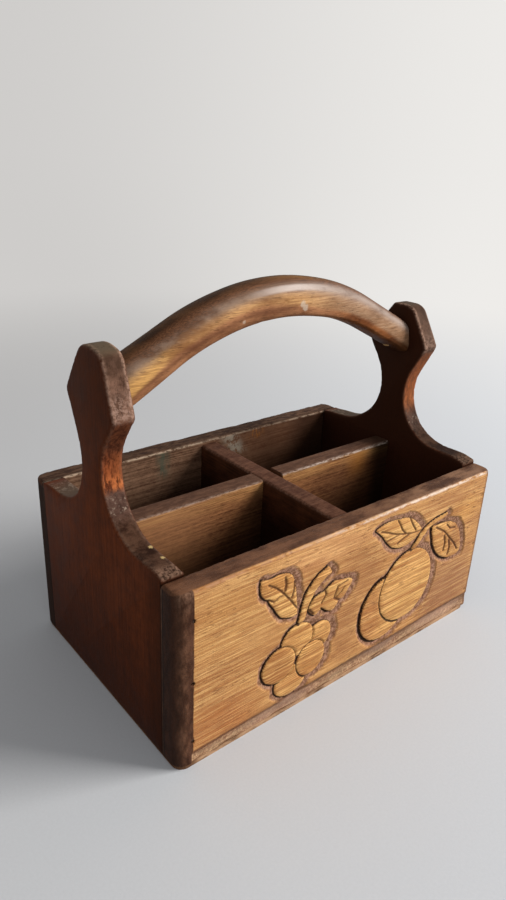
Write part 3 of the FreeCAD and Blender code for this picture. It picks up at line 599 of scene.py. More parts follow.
class Value:
    """One shader socket that takes Python arithmetic with sockets and numbers."""

    def __init__(self, graph, socket):
        self.graph = graph
        self.socket = socket

    def maths(self, operation, *operands):
        made = self.graph.node("Math", {"operation": operation}, dict(enumerate(operands)))
        return Value(self.graph, made.outputs[0])

    def __add__(self, other):
        return self.maths("ADD", self, other)

    def __sub__(self, other):
        return self.maths("SUBTRACT", self, other)

    def __rsub__(self, other):
        return self.maths("SUBTRACT", other, self)

    def __mul__(self, other):
        return self.maths("MULTIPLY", self, other)

    def __truediv__(self, other):
        return self.maths("DIVIDE", self, other)

    def __pow__(self, other):
        return self.maths("POWER", self, other)

    def __abs__(self):
        return self.maths("ABSOLUTE", self)

    def larger(self, other):
        return self.maths("MAXIMUM", self, other)

    def ease(self, low, high):
        """0 to 1 between two levels along 3t^2 - 2t^3; low may be the larger."""
        made = self.graph.node("MapRange", {"interpolation_type": "SMOOTHSTEP"},
                               {"Value": self, "From Min": low, "From Max": high})
        return Value(self.graph, made.outputs["Result"])

    def bell(self, width):
        """1 at zero, falling on both sides along 3t^2 - 2t^3 to 0 at the width."""
        return abs(self).ease(width, 0.0)

    __radd__ = __add__
    __rmul__ = __mul__


class Graph:
    """Node tree of one material, or of the world."""

    def __init__(self, name, owner=None):
        self.owner = owner or bpy.data.materials.new(name)
        self.owner.use_nodes = True
        self.nodes = self.owner.node_tree.nodes
        self.nodes.clear()
        metres = self.node("TexCoord").outputs["Object"]
        self.place = self.node("Mapping", {}, {"Vector": metres, "Scale": (1 / MM,) * 3}).outputs[0]
        axes = self.node("SeparateXYZ", {}, {"Vector": self.place}).outputs
        self.x, self.y, self.z = (Value(self, axis) for axis in axes)

    def feed(self, entry, value):
        """Put a value, a socket or a constant into an input."""
        if isinstance(value, Value):
            value = value.socket
        if isinstance(value, bpy.types.NodeSocket):
            self.owner.node_tree.links.new(value, entry)
        elif entry.type == "RGBA" and len(value) == 3:
            entry.default_value = (*value, 1)
        else:
            entry.default_value = value

    def node(self, kind, settings=None, inputs=None):
        """New node of a type, with its settings and its inputs by name or number."""
        made = self.nodes.new("ShaderNode" + kind)
        for name, setting in (settings or {}).items():
            setattr(made, name, setting)
        for name, value in (inputs or {}).items():
            self.feed(made.inputs[name], value)
        return made

    def read(self, label):
        """Number that the mesh carries under a name."""
        made = self.node("Attribute", {"attribute_name": label})
        return Value(self, made.outputs["Fac"])

    def noise(self, scale, detail, roughness, stretch=(1, 1, 1), place=None):
        """Noise in 0..1 over the place, or over another one, multiplied along each axis."""
        spot = self.node("Mapping", {}, {"Vector": place or self.place, "Scale": stretch}).outputs[0]
        made = self.node("TexNoise", {}, {
            "Vector": spot, "Scale": scale, "Detail": detail, "Roughness": roughness})
        return Value(self, made.outputs["Fac"])

    def mix(self, share, first, second, blend="MIX"):
        """Colour between two colours, each from a socket or written as it looks on a screen."""
        made = self.node("Mix", {"data_type": "RGBA", "blend_type": blend})
        for entry, part in zip((0, 6, 7), (share, first, second)):
            self.feed(made.inputs[entry], paint(*part) if isinstance(part, tuple) else part)
        return made.outputs[2]

    def coats(self, colour, *layers):
        """Colour with each layer's colour laid over it in turn, by the layer's share."""
        for share, over in layers:
            colour = self.mix(share, colour, over)
        return colour

    def wander(self, amount, cell, seed):
        """Place moved by a slow noise of some millimetres, so that the grain doesn't run straight."""
        moved = self.node("Mapping", {}, {
            "Vector": self.place, "Location": (seed, seed * 2.3, -seed)}).outputs[0]
        cloud = self.node("TexNoise", {}, {"Vector": moved, "Scale": 1 / cell, "Detail": 2.0})
        centred = self.node("VectorMath", {"operation": "SUBTRACT"}, {
            0: cloud.outputs["Color"], 1: (0.5,) * 3})
        scaled = self.node("VectorMath", {"operation": "SCALE"}, {0: centred.outputs[0], "Scale": amount})
        return self.node("VectorMath", {"operation": "ADD"}, {0: moved, 1: scaled.outputs[0]}).outputs[0]

    def spots(self, places, reach):
        """Number near 1 within some millimetres of any of the places, with ragged rims."""
        ragged = self.node("TexNoise", {}, {"Vector": self.place, "Scale": 0.7, "Detail": 3.0})
        moved = self.node("VectorMath", {"operation": "MULTIPLY_ADD"},
                          {0: ragged.outputs["Color"], 1: (RAGGED,) * 3, 2: self.place}).outputs[0]
        total = 0.0
        for place in places:
            centre = tuple(part + RAGGED / 2 for part in place)
            gap = self.node("VectorMath", {"operation": "DISTANCE"}, {0: moved, 1: centre})
            total = Value(self, gap.outputs["Value"]).ease(reach, reach * 0.55).larger(total)
        return total

    def finish(self, colour, roughness, height, shine=0.3, depth=0.00018):
        """Close the material: a principled surface with bump from a height in 0..1."""
        bump = self.node("Bump", {}, {"Height": height, "Distance": depth, "Strength": BUMP_STRENGTH})
        shader = self.node("BsdfPrincipled", {}, {
            "Base Color": colour, "Roughness": roughness, "Normal": bump.outputs[0],
            "Specular IOR Level": shine, "Specular Tint": WARM_GLOSS})
        self.feed(self.node("OutputMaterial").inputs["Surface"], shader.outputs[0])
        return self.owner


class Grain:
    """Wood figure along one axis, each 0 to 1: broad bands, streaks, fine fibres, short dark pores."""

    def __init__(self, graph, axis, seed):
        place = graph.wander(3, 110, seed)

        def drawn(share, scale, detail, roughness):
            along = [1.0, 1.0, 1.0]
            along[axis] = share
            return graph.noise(scale, detail, roughness, tuple(along), place)

        self.band = drawn(0.03, 0.12, 3.0, 0.5).ease(0.34, 0.66)
        self.streak = drawn(0.02, 0.75, 2.0, 0.6).ease(0.36, 0.64)
        self.fibre = drawn(0.022, 1.65, 2.0, 0.6).ease(0.36, 0.64)
        self.pore = drawn(0.11, 1.425, 1.0, 0.5).ease(0.60, 0.68)
        self.height = self.fibre * 0.6 + self.streak * 0.3 - self.pore * 0.4


# Front board's looks ------------------------------------------------------------------------------

FRONT_TINTS = (  # share, centre, reach and colour of the slow changes over the front
    (0.65, (-112, 16), (46, 34), (174, 100, 56)), (0.5, (-104, 96), (34, 28), (218, 166, 100)),
    (0.6, (4, 86), (28, 26), (150, 98, 62)), (0.75, (106, 32), (50, 44), (140, 97, 76)),
    (0.6, (113, 98), (24, 16), (210, 152, 80)), (0.5, (-8, 42), (15, 34), (154, 104, 70)),
    (0.6, (-30, 112), (60, 14), (232, 174, 120)), (0.6, (88, 112), (42, 10), (172, 120, 78)),
)
FIGURE_TINTS = (
    (0.7, (15, 40), (20, 34), (190, 126, 76)), (0.65, (-66, 40), (18, 18), (170, 114, 68)),
    (0.4, (-36, 34), (16, 16), (196, 134, 78)), (0.5, (-54, 22), (18, 12), (184, 122, 70)),
    # painted shade: the first tint below darkens the round leaf's right part, where it slopes down into its
    # moat
    (0.8, (109, 80), (17, 22), (150, 102, 68)), (0.5, (-66, 104), (16, 9), (240, 180, 98)),
)
LIP_TINTS = (
    (0.5, (-62, 8), (40, 18), (150, 120, 108)), (0.6, (34, 12), (30, 10), (126, 102, 92)),
    (0.4, (100, 9), (40, 14), (196, 160, 138)),
)


def tinted(graph, wood, tints):
    """Colour with each tint pooled over it: its share falls along 3t^2 - 2t^3 from full where
    sqrt((x / a)^2 + (z / b)^2) is 0.3 to nothing where it is 1."""
    for share, centre, reach, colour in tints:
        across = (graph.x - centre[0]) / reach[0]
        up = (graph.z - centre[1]) / reach[1]
        wood = graph.mix(((across * across + up * up) ** 0.5).ease(1.0, 0.3) * share, wood, colour)
    return wood


def golden_wood(graph, grain, figure, grit):
    """Golden board, brighter and with sharper lines on the carved figures."""
    cloud = graph.noise(0.028, 3.0, 0.6)
    blotch = graph.noise(0.07, 4.0, 0.65, (0.5, 1, 1)).ease(0.4, 0.68)
    scratch = graph.noise(0.8, 3.0, 0.6, (1, 1, 0.09)).ease(0.56, 0.68)
    lines = graph.noise(0.36, 2.0, 0.6, (0.012, 1, 1)).ease(0.52, 0.64)
    ground = tinted(graph, graph.mix(grain.band, (188, 134, 82), (214, 162, 102)), FRONT_TINTS)
    ground = graph.mix(blotch * 0.4, ground, (160, 108, 70))
    gold = tinted(graph, graph.mix(grain.band, (232, 173, 103), (248, 198, 122)), FIGURE_TINTS)
    return graph.coats(
        graph.mix(figure, ground, gold),
        (grain.streak * (0.22 + figure * 0.26), (154, 92, 46)),
        (grain.fibre * (0.34 + figure * 0.16), (136, 82, 42)),
        ((1 - grain.fibre) * (1 - grain.streak) * 0.4, (250, 206, 138)),
        (lines * (0.08 + figure * 0.42), (146, 84, 42)),
        (grit * 0.12, (120, 74, 42)),
        (grain.pore * (cloud.ease(0.42, 0.58) * 0.35 + 0.25), (104, 58, 30)),
        (scratch * cloud.ease(0.42, 0.56) * (1 - figure) * 0.22, (120, 76, 46)))


def foot_strip(graph, grain, rough_spot, grit):
    """Rubbed strip along the foot of the front: mouldy and gritty, with painted shade darkening it towards
    its upper edge.
    """
    mould = graph.noise(0.16, 5.0, 0.72, (0.3, 1, 1)).ease(0.40, 0.62)
    bare = grain.streak * 0.4 + rough_spot.ease(0.42, 0.58) * 0.6
    strip = graph.coats(
        graph.mix(bare, (124, 82, 58), (240, 198, 158)),
        (mould * 0.5, (196, 172, 136)),
        (grit * 0.5, (108, 76, 58)),
        (grain.fibre * 0.3, (98, 64, 46)),
        # painted shade: darker towards the strip's upper edge, under the step
        ((graph.z - 11.5).bell(6.0) * 0.75, (92, 60, 45)))
    return tinted(graph, strip, LIP_TINTS)


def dark_corner(graph, scuff):
    """Stained left corner: darkest on the end and in the joint, lightened on its rounded arris by painted
    light, rubbed at its top.
    """
    x = graph.x
    rubbed = graph.coats(
        graph.mix(scuff, (66, 38, 25), (98, 65, 48)),
        # painted light on the rounded arris, stronger where scuffed
        (x.ease(-131.5, -134.5) * (0.12 + scuff * 0.3), (140, 100, 76)),
        (graph.z.ease(108, 120) * scuff * 0.7, (156, 122, 100)))
    end = graph.mix(scuff, (38, 19, 11), (62, 36, 24))
    corner = graph.mix(x.ease(0.4 - WALL_END, 4.5 - WALL_END) * (0.55 + scuff * 0.45), end, rubbed)
    return graph.mix((graph.y + WALL_INSIDE + 1.2).bell(1.6) * 0.9, corner, (12, 6, 4))


def brown_top(graph, grain, inner_face):
    """Mottled brown of the top and the inner face, paler to the right, with painted shade darkening the inner
    face towards the floor.
    """
    mottle = graph.noise(0.12, 5.0, 0.65, (0.4, 1, 1)).ease(0.36, 0.66)
    return graph.coats(
        graph.mix(mottle, (75, 47, 33), (119, 82, 60)),
        (graph.x.ease(-40, 80) * mottle * 0.6, (156, 120, 94)),
        (grain.fibre * 0.3, (60, 38, 26)),
        # painted shade down the inner face, towards the floor
        (inner_face * graph.z.ease(118, 60) * 0.7, (40, 22, 14)))


def carved_material():
    """Golden front with stained carving and painted shadow beside its cuts, worn arrises with a painted
    highlight, and a dark left corner.
    """
    graph = Graph("carved_front")
    grain = Grain(graph, 0, 3.0)
    x, y, z = graph.x, graph.y, graph.z
    shape, moat_step, crease, vein, lip, lip_step_shadow = (
        graph.read(name) for name in ("shape", "moat", "crease", "vein", "lip", "lip_step_shadow"))
    ragged = graph.noise(0.8, 4.0, 0.7) - 0.5
    rough_spot = graph.noise(0.5, 4.0, 0.75)
    grit = graph.noise(1.0, 3.0, 0.75, (1, 1, 0.6)).ease(0.4, 0.6)
    scuff = graph.noise(0.16, 5.0, 0.7, (1, 1, 0.4)).ease(0.35, 0.7)
    chips = graph.noise(0.3, 5.0, 0.75, (0.4, 1, 1))
    figure = (shape + ragged * 0.5).ease(0.2, -0.2)
    moat = (moat_step + ragged * 2.6).ease(1.0, -1.6) * (1 - figure)
    stain = graph.mix(rough_spot.ease(0.42, 0.58), (100, 66, 53), (178, 137, 116))
    left_band = (x + graph.noise(0.12, 3.0, 0.55) * 1.6).ease(BAND_EDGE + 1.1, BAND_EDGE + 0.1)
    top_face = (z + (y + WALL_OUTSIDE) * 0.5).ease(WALL_TOP - 0.2, WALL_TOP + 0.8)
    top_face = top_face * z.ease(WALL_TOP - 3.5, WALL_TOP - 1.5)
    inner_face = y.ease(-WALL_INSIDE - 1.5, -WALL_INSIDE - 0.5)
    arris = (z - WALL_TOP + 1.3).bell(1.6) * (y + WALL_OUTSIDE - 0.8).bell(1.7) * x.ease(-131, -126)
    rightward = x.ease(-90, 40)
    right_end = (x + chips * 4 - 2).ease(132.8, 136)
    wood = graph.coats(
        golden_wood(graph, grain, figure, grit),
        (moat * 0.85, graph.mix(grit * 0.35, stain, (92, 60, 50))),
        (lip * 0.92, foot_strip(graph, grain, rough_spot, grit)),
        # painted shadow along the lip's upper step
        (lip_step_shadow * 0.8, graph.mix(rough_spot.ease(0.4, 0.6), (62, 36, 26), (104, 68, 50))),
        ((z + ragged * 7).bell(1.8) * 0.8, (52, 32, 23)),
        ((vein + ragged * 0.7).ease(0.65, -0.35) * 0.82, (78, 42, 24)),
        # dark lines round the shapes and over the nail hollows: stained cuts, widened by painted shadow on
        # the shapes' left sides
        ((crease + ragged * 0.7).ease(0.5, -0.15) * 0.94, (28, 14, 8)),
        (left_band, dark_corner(graph, scuff)),
        (top_face.larger(inner_face), brown_top(graph, grain, inner_face)),
        # pale line along the top front arris: worn edge and painted highlight, paler and stronger to the
        # right
        (arris * chips.ease(0.40, 0.54) * (0.55 + rightward * 0.4),
         graph.mix(rightward, (178, 136, 108), (226, 208, 192))),
        (right_end * 0.8, graph.mix(chips.ease(0.4, 0.6), (74, 47, 33), (122, 84, 58))),
        (x.ease(WALL_END - 1.1, WALL_END - 0.4) * 0.9, graph.mix(scuff, (44, 24, 15), (82, 52, 37))))
    roughness = 0.56 - grain.fibre * 0.1 + moat * 0.16
    height = grain.height + rough_spot * 0.35 + grit * 0.3
    return graph.finish(wood, roughness, height, shine=0.1, depth=0.00026)


# Stained boards' looks ----------------------------------------------------------------------------

EAR_WEAR = {  # foot, top and softness of the orange neck, and places of chips to bare wood
    "left": (150, 173, 2.5, ((-132, -31, 134), (-127.5, -44, 126.5), (-127.5, -57, 126))),
    "right": (152, 196, 9.0, ()),
}
RIGHT_SHADE = (214, 214, 212)  # multiplies the stains on the right ear's free edges


def stained_material(name, axis, seed, light, dark, wear_and_painted_light):
    """Dark stained board: grain under the stain, scuffs, and then that board's worn marks with its painted
    light and shade.
    """
    graph = Graph(name)
    grain = Grain(graph, axis, seed)
    scuffs = graph.noise(0.07, 5.0, 0.68)
    wood = graph.coats(
        graph.mix(grain.streak * 0.35 + scuffs.ease(0.3, 0.7) * 0.65, dark, light),
        (grain.fibre * 0.25, dark),
        (grain.pore * 0.3, (20, 10, 7)))
    wood = wear_and_painted_light(graph, grain, wood)
    return graph.finish(wood, 0.5 + scuffs * 0.25, grain.height * 0.6 + scuffs, shine=0.06)


def crown_stain(graph, patch, speck):
    """Brown crown of an ear: specks below it, fine upright scratches, greyer at the very top."""
    z = graph.z
    scratches = graph.noise(0.8, 2.0, 0.6, (1, 1, 0.1)).ease(0.58, 0.68)
    return graph.coats(
        graph.mix(patch.ease(0.35, 0.68), (70, 48, 37), (124, 92, 76)),
        (z.ease(212, 226) * 0.5, (62, 44, 33)),
        (z.ease(229, 233) * 0.85, (92, 80, 64)),
        (z.ease(216, 202) * speck.ease(0.42, 0.6) * 0.6, (172, 140, 124)),
        (scratches * 0.55, (52, 36, 28)))


def orange_stain(graph, grain, blaze, umber, span, low, high):
    """Orange neck, brightest towards its foot and towards the right arris, umber towards its top."""
    foot = (graph.z + blaze * 8 - 4).ease(low + 13, low + 2)
    return graph.coats(
        graph.mix(blaze.ease(0.38, 0.64), (84, 39, 22), (156, 82, 45)),
        (graph.x.ease(min(span) + 2, max(span) - 1) * 0.3, (176, 106, 64)),
        (foot * blaze.ease(0.42, 0.58) * 0.6, (206, 122, 70)),
        ((graph.z + blaze * 10 - 5).ease(high - 14, high) * 0.55, umber),
        (grain.pore * 0.7, (52, 26, 15)))


def shoulder_stain(graph, patch, speck):
    """Dark shoulders, greyer and speckled towards the back end, pale specks at the front end."""
    y = graph.y
    return graph.coats(
        graph.mix(patch.ease(0.38, 0.62), (34, 20, 14), (80, 57, 44)),
        (y.ease(24, 44) * 0.8, (80, 66, 54)),
        (y.ease(44, 58) * speck.ease(0.5, 0.6) * 0.7, (162, 146, 128)),
        (y.ease(-60, -71) * speck.ease(0.38, 0.6) * 0.55, (168, 132, 110)))


def ear_wear_and_shade(side):
    """Wear of an end board: its free edges by height, rubbed arrises, and chips to bare wood, with painted
    shade making its inner face darker and its outer face darker towards the floor.
    """
    sign = -1 if side == "left" else 1
    span = (sign * WALL_END, sign * EAR_INSIDE)
    thick = WALL_END - EAR_INSIDE
    neck_foot, neck_top, soft, chip_places = EAR_WEAR[side]

    def wear_and_painted_light(graph, grain, wood):
        y, z = graph.y, graph.z
        across = (graph.x - span[0]) * -sign
        inside = across.ease(thick - 1.2, thick - 0.4)
        edge = across.ease(0.3, 1.8) * (thick - across).ease(0.3, 1.8)
        above = z.ease(WALL_TOP - 0.5, WALL_TOP + 1.5)
        back_side = y.ease(2, 14) * z.ease(126, 132)
        joint = (y + WALL_INSIDE).bell(1.5).larger((y - WALL_INSIDE).bell(1.5))
        joint = joint * z.ease(WALL_TOP + 1.5, WALL_TOP - 1.5)
        patch = graph.noise(0.09, 5.0, 0.7)
        speck = graph.noise(0.45, 4.0, 0.8)
        blaze = graph.noise(0.36, 4.0, 0.75, (1, 1, 0.35))
        wood = graph.coats(
            wood,
            # painted shade: the inner face darker than the outer
            (inside * 0.94, (48, 25, 15)),
            # painted shade: the outer face darker towards the floor
            ((1 - inside) * z.ease(110, 20) * 0.55, (42, 17, 9)),
            ((1 - inside) * z.ease(130, 215) * 0.6, (50, 25, 14)),
            ((1 - inside) * y.ease(-50, -73) * 0.5, (34, 17, 10)),
            (joint.larger(z.ease(WALL_FOOT, 0.0)) * 0.8, (14, 7, 4)))
        umber = graph.mix(blaze.ease(0.35, 0.65), (62, 33, 22), (112, 64, 42))
        orange = orange_stain(graph, grain, blaze, umber, span, neck_foot, neck_top)
        crown = crown_stain(graph, patch, speck)
        low = shoulder_stain(graph, patch, speck)
        grey = graph.mix(patch.ease(0.35, 0.65), (50, 34, 29), (92, 68, 59))
        grey = graph.mix((z - 141).bell(9) * speck.ease(0.56, 0.64) * 0.7, grey, (176, 158, 140))
        if side == "right":
            orange = graph.mix(0.4, orange, (136, 84, 50))
            crown, grey, low = (
                graph.mix(1.0, part, RIGHT_SHADE, "MULTIPLY") for part in (crown, grey, low))
        bare = graph.coats(
            graph.mix(z.ease(193, 199), umber, crown),
            ((z + patch * 8 - 4).ease(neck_top + 4, neck_top - 4), orange),
            ((z + patch * 10 - 5).ease(neck_foot + soft, neck_foot - soft), grey),
            ((z + patch * 10 - 5).ease(141, 131), low),
            (back_side * 0.7, (64, 40, 29)))
        rim = graph.read("rim") * speck.ease(0.36, 0.60) * (1 - back_side * 0.6)
        rim = rim * (0.1 + z.ease(194, 203) * (0.25 + across.ease(thick * 0.4, thick * 0.6) * 0.35))
        wood = graph.coats(wood, (edge * above * 0.94, bare), (rim * above, (178, 144, 124)))
        if chip_places:
            wood = graph.mix(graph.spots(chip_places, 2.1) * 0.8, wood, (206, 178, 122))
        return wood
    return wear_and_painted_light


def scuff_of(graph):
    """Long scratches across an edge."""
    return graph.noise(0.35, 4.0, 0.75, (0.3, 1, 1)).ease(0.4, 0.65)


def wall_wear_and_shade(graph, grain, wood):
    """Wear of the back board: a pale broken line along its inner top arris, worn and partly a painted
    highlight, stains, nail holes, and painted shade on its inner face towards the right end and towards the
    floor.
    """
    x, y, z = graph.x, graph.y, graph.z
    speck = graph.noise(0.4, 5.0, 0.8, (0.5, 1, 1))
    smear = graph.noise(0.3, 4.0, 0.75, (1, 1, 0.25))
    smudge = graph.noise(0.22, 4.0, 0.75, (1, 1, 0.6))
    green = (x + 45 + smear * 4 - 2).bell(9) * z.ease(95, 106) * smear.ease(0.32, 0.5)
    white = (x - 23 + (z - 112) * 0.6).bell(13) * z.ease(101, 108) * smudge.ease(0.42, 0.54)
    rust = (x - 46).bell(12) * z.ease(111, 117) * smear.ease(0.48, 0.6)
    inner = graph.coats(
        graph.mix(grain.streak * 0.6 + speck.ease(0.4, 0.6) * 0.4, (76, 52, 39), (138, 106, 84)),
        (x.ease(-40, 60) * 0.6, (104, 66, 45)),
        # painted shadow on the inner face towards the right end
        (x.ease(66, 104) * 0.8, (30, 16, 10)),
        (green * 0.75, (70, 80, 68)),
        (white * 0.75, (166, 158, 142)),
        (rust * 0.7, (172, 104, 40)),
        # painted shade: the inner face darker towards the floor
        (z.ease(112, 72) * 0.8, (40, 22, 14)))
    rim = (z - WALL_TOP + 1.2).bell(1.1) * y.ease(WALL_INSIDE + 2.5, WALL_INSIDE + 0.8)
    end = abs(x).ease(WALL_END - 1.4, WALL_END - 0.2) * z.ease(WALL_TOP - 1.5, WALL_TOP - 5.5)
    joint = (y - WALL_INSIDE - 1).bell(1.4) * abs(x).ease(EAR_INSIDE - 1, EAR_INSIDE + 1)
    return graph.coats(
        wood,
        (y.ease(WALL_INSIDE + 1.2, WALL_INSIDE + 0.3), inner),
        (z.ease(WALL_TOP - 2.3, WALL_TOP - 0.9), graph.mix(scuff_of(graph), (56, 37, 27), (98, 72, 56))),
        # pale broken line on the inner top arris: wear and painted highlight, weaker to the right
        (rim * (0.85 - x.ease(-40, 60) * 0.45) * speck.ease(0.40, 0.56), (196, 172, 148)),
        (end.larger(joint) * 0.8, (22, 12, 8)),
        (graph.read("crease").ease(0.4, -0.4), (16, 9, 6)))


def long_divider_wear_light_and_shade(graph, grain, wood):
    """Wear of the long divider with painted light and shade: golden-brown face to the front, with painted
    light towards its top, its left end and round x = 90, and painted shade towards the floor, beside the
    cross divider and towards the right ear; reddish top with painted shade towards the ear; rubbed front
    arris with a painted highlight.
    """
    x, y, z = graph.x, graph.y, graph.z
    speck = graph.noise(0.7, 5.0, 0.8, (0.3, 1, 1))
    face = graph.coats(
        graph.mix(grain.streak * 0.5 + speck.ease(0.4, 0.6) * 0.5, (84, 50, 32), (152, 103, 67)),
        # painted light: golden towards the top of the face
        (z.ease(104, 116) * grain.fibre * 0.8, (190, 142, 88)),
        # painted light: lighter towards the left end
        (x.ease(-40, -90) * 0.4, (176, 126, 88)),
        (x.ease(24, 56) * z.ease(117, 104) * 0.4, (64, 38, 24)),
        # painted shade: darker towards the floor
        (z.ease(113, 64) * 0.8, (48, 27, 17)),
        # painted shade beside the cross divider
        (x.ease(-34, -6) * x.ease(14, 0) * z.ease(118, 100) * 0.7, (34, 18, 11)),
        # painted light: golden patch high on the face round x = 90
        ((x - 90).bell(18) * z.ease(90, 112) * 0.5, (160, 104, 44)),
        # painted shade: dark towards the right ear
        (x.ease(98, 116) * 0.85, (24, 12, 7)))
    rubbed = scuff_of(graph) * 0.6 + grain.fibre * 0.3
    rim = (z - DIVIDER_TOP + 1.1).bell(1.25) * y.ease(1.0, -1.0) * speck.ease(0.38, 0.58)
    return graph.coats(
        wood,
        (y.ease(-0.5, -1.8), face),
        (z.ease(DIVIDER_TOP - 2, DIVIDER_TOP - 0.5), graph.mix(rubbed, (72, 48, 37), (108, 78, 61))),
        # painted shade on the top towards the right ear
        (x.ease(100, 122) * z.ease(114, 117) * 0.7, (44, 29, 20)),
        # pale broken line on the front arris: wear and painted highlight, stronger to the right
        (rim * (0.3 + x.ease(0, 50) * 0.5), (196, 180, 168)))


def cross_divider_wear_and_shade(graph, grain, wood):
    """Wear of the cross divider with painted shade: its faces darker towards the floor, a reddish-brown top
    with a rubbed line.
    """
    z = graph.z
    scuffs = scuff_of(graph)
    top = graph.mix(scuffs * 0.6 + grain.fibre * 0.3, (70, 42, 31), (106, 72, 55))
    return graph.coats(
        wood,
        # painted shade: darker towards the floor
        (z.ease(118, 84) * 0.8, (26, 13, 8)),
        (z.ease(DIVIDER_TOP - 2, DIVIDER_TOP - 0.5), top),
        ((z - DIVIDER_TOP + 1).bell(1.4) * scuffs * 0.25, (150, 116, 98)))


# Bow's, hidden pieces' and nails' looks -----------------------------------------------------------

BOW_CHIPS = (  # reach and places
    (3.0, ((9.5, -11, 243.5), (12, -11, 241))), (1.9, ((-38.6, -11, 236.5),)))


def bow_material():
    """Bow: dark greasy top and back, a grey painted sheen along the ridge, golden front face, brown belly."""
    graph = Graph("worn_bow")
    grain = Grain(graph, 0, 11.0)
    fore, up, ridge = (graph.read(name) for name in ("fore", "up", "ridge"))
    x = graph.x
    drift = graph.noise(0.05, 4.0, 0.6, (0.3, 1, 1)) - 0.5
    patch = graph.noise(0.07, 5.0, 0.7, (0.4, 1, 1))
    speck = graph.noise(0.5, 4.0, 0.8)
    # worn is the mottle of the painted sheen on the ridge
    clouded, worn = patch.ease(0.35, 0.65), patch.ease(0.3, 0.6)
    right, far_right = x.ease(-30, 40), x.ease(20, 70)
    dark = graph.coats(
        graph.mix(clouded, (50, 31, 19), (88, 60, 39)),
        ((x - 20).bell(44) * patch.ease(0.3, 0.66) * 0.75, (144, 100, 54)),
        (far_right * 0.7, (104, 88, 74)))
    umber = graph.mix(grain.fibre, (78, 50, 34), (112, 74, 50))
    gold = graph.coats(
        graph.mix(clouded, (150, 106, 66), (214, 165, 110)),
        (x.ease(-84, -104) * 0.6, (238, 184, 106)),
        (x.ease(-5, 60) * 0.85, graph.mix(clouded, (128, 100, 79), (164, 134, 110))),
        (grain.streak * 0.36 + grain.fibre * 0.3, (112, 70, 40)))
    brown = graph.coats(
        graph.mix(patch.ease(0.3, 0.7), (116, 74, 50), (172, 120, 84)),
        ((up + 0.35 + drift * 0.3).bell(0.22) * x.ease(10, -20) * 0.5, (84, 48, 32)),
        (far_right, graph.mix(patch.ease(0.4, 0.7), (98, 53, 26), (148, 92, 52))),
        (x.ease(94, 114) * 0.8, (54, 31, 17)))
    left_end = (x - BOW_LOW[0]).ease(40, 0)
    belly = up + right * 0.42 + left_end * 0.35 + drift * 0.45
    # painted sheen along the ridge: greyer on the left, paler to the right
    grey = graph.mix(worn, (98, 76, 64), (150, 128, 112))
    pale = graph.mix(right, grey, graph.mix(worn, (122, 106, 97), (176, 160, 150)))
    # painted reflection: a brighter streak on the ridge
    painted_sheen = ridge.ease(0.55, 0.95) * (x - 4).bell(44) * (patch * 0.7 + speck * 0.3).ease(0.28, 0.5)
    chips = [graph.spots(places, reach) for reach, places in BOW_CHIPS]
    wood = graph.coats(
        graph.mix((fore + drift * 0.3).ease(0.1, 0.55), dark, umber),
        ((fore - up * 0.35 + drift * 0.3).ease(0.55, 0.85), gold),
        (belly.ease(0.10, -0.22), brown),
        (grain.pore * 0.4, (56, 34, 22)),
        # painted sheen over the ridge
        (ridge * (patch + 0.15).ease(0.25, 0.6) * 0.72, pale),
        # painted reflection on the ridge
        (painted_sheen * 0.75, (210, 196, 189)),
        (chips[0].larger(chips[1]) * 0.62, (196, 180, 162)),
        (speck.ease(0.72, 0.77) * x.ease(70, 50) * 0.6, (190, 176, 150)))
    return graph.finish(wood, 0.45 + patch * 0.25, grain.height + patch * 0.6, shine=0.06)


def plain_wood(name, axis, seed, light, dark):
    """Unfinished wood of hidden pieces, worn pale where it ends under the front."""
    graph = Graph(name)
    grain = Grain(graph, axis, seed)
    rubbed = graph.noise(0.2, 5.0, 0.7, (0.3, 1, 1)).ease(0.3, 0.6)
    rubbed = rubbed * graph.y.ease(-88, -89.5) * graph.x.ease(-130, -122)
    wood = graph.coats(
        graph.mix(grain.fibre * 0.6 + grain.band * 0.4, dark, light),
        (grain.pore * 0.6, (60, 36, 22)),
        (rubbed * 0.85, (214, 172, 134)))
    return graph.finish(wood, 0.7 - grain.fibre * 0.1, grain.height)


def nail_material():
    """Old steel with brown rust."""
    graph = Graph("nail_steel")
    rust = graph.noise(0.9, 4.0, 0.7).ease(0.4, 0.6)
    colour = graph.mix(rust, (70, 64, 60), (58, 34, 24))
    return graph.finish(colour, 0.4 + rust * 0.4, rust, depth=0.0001)


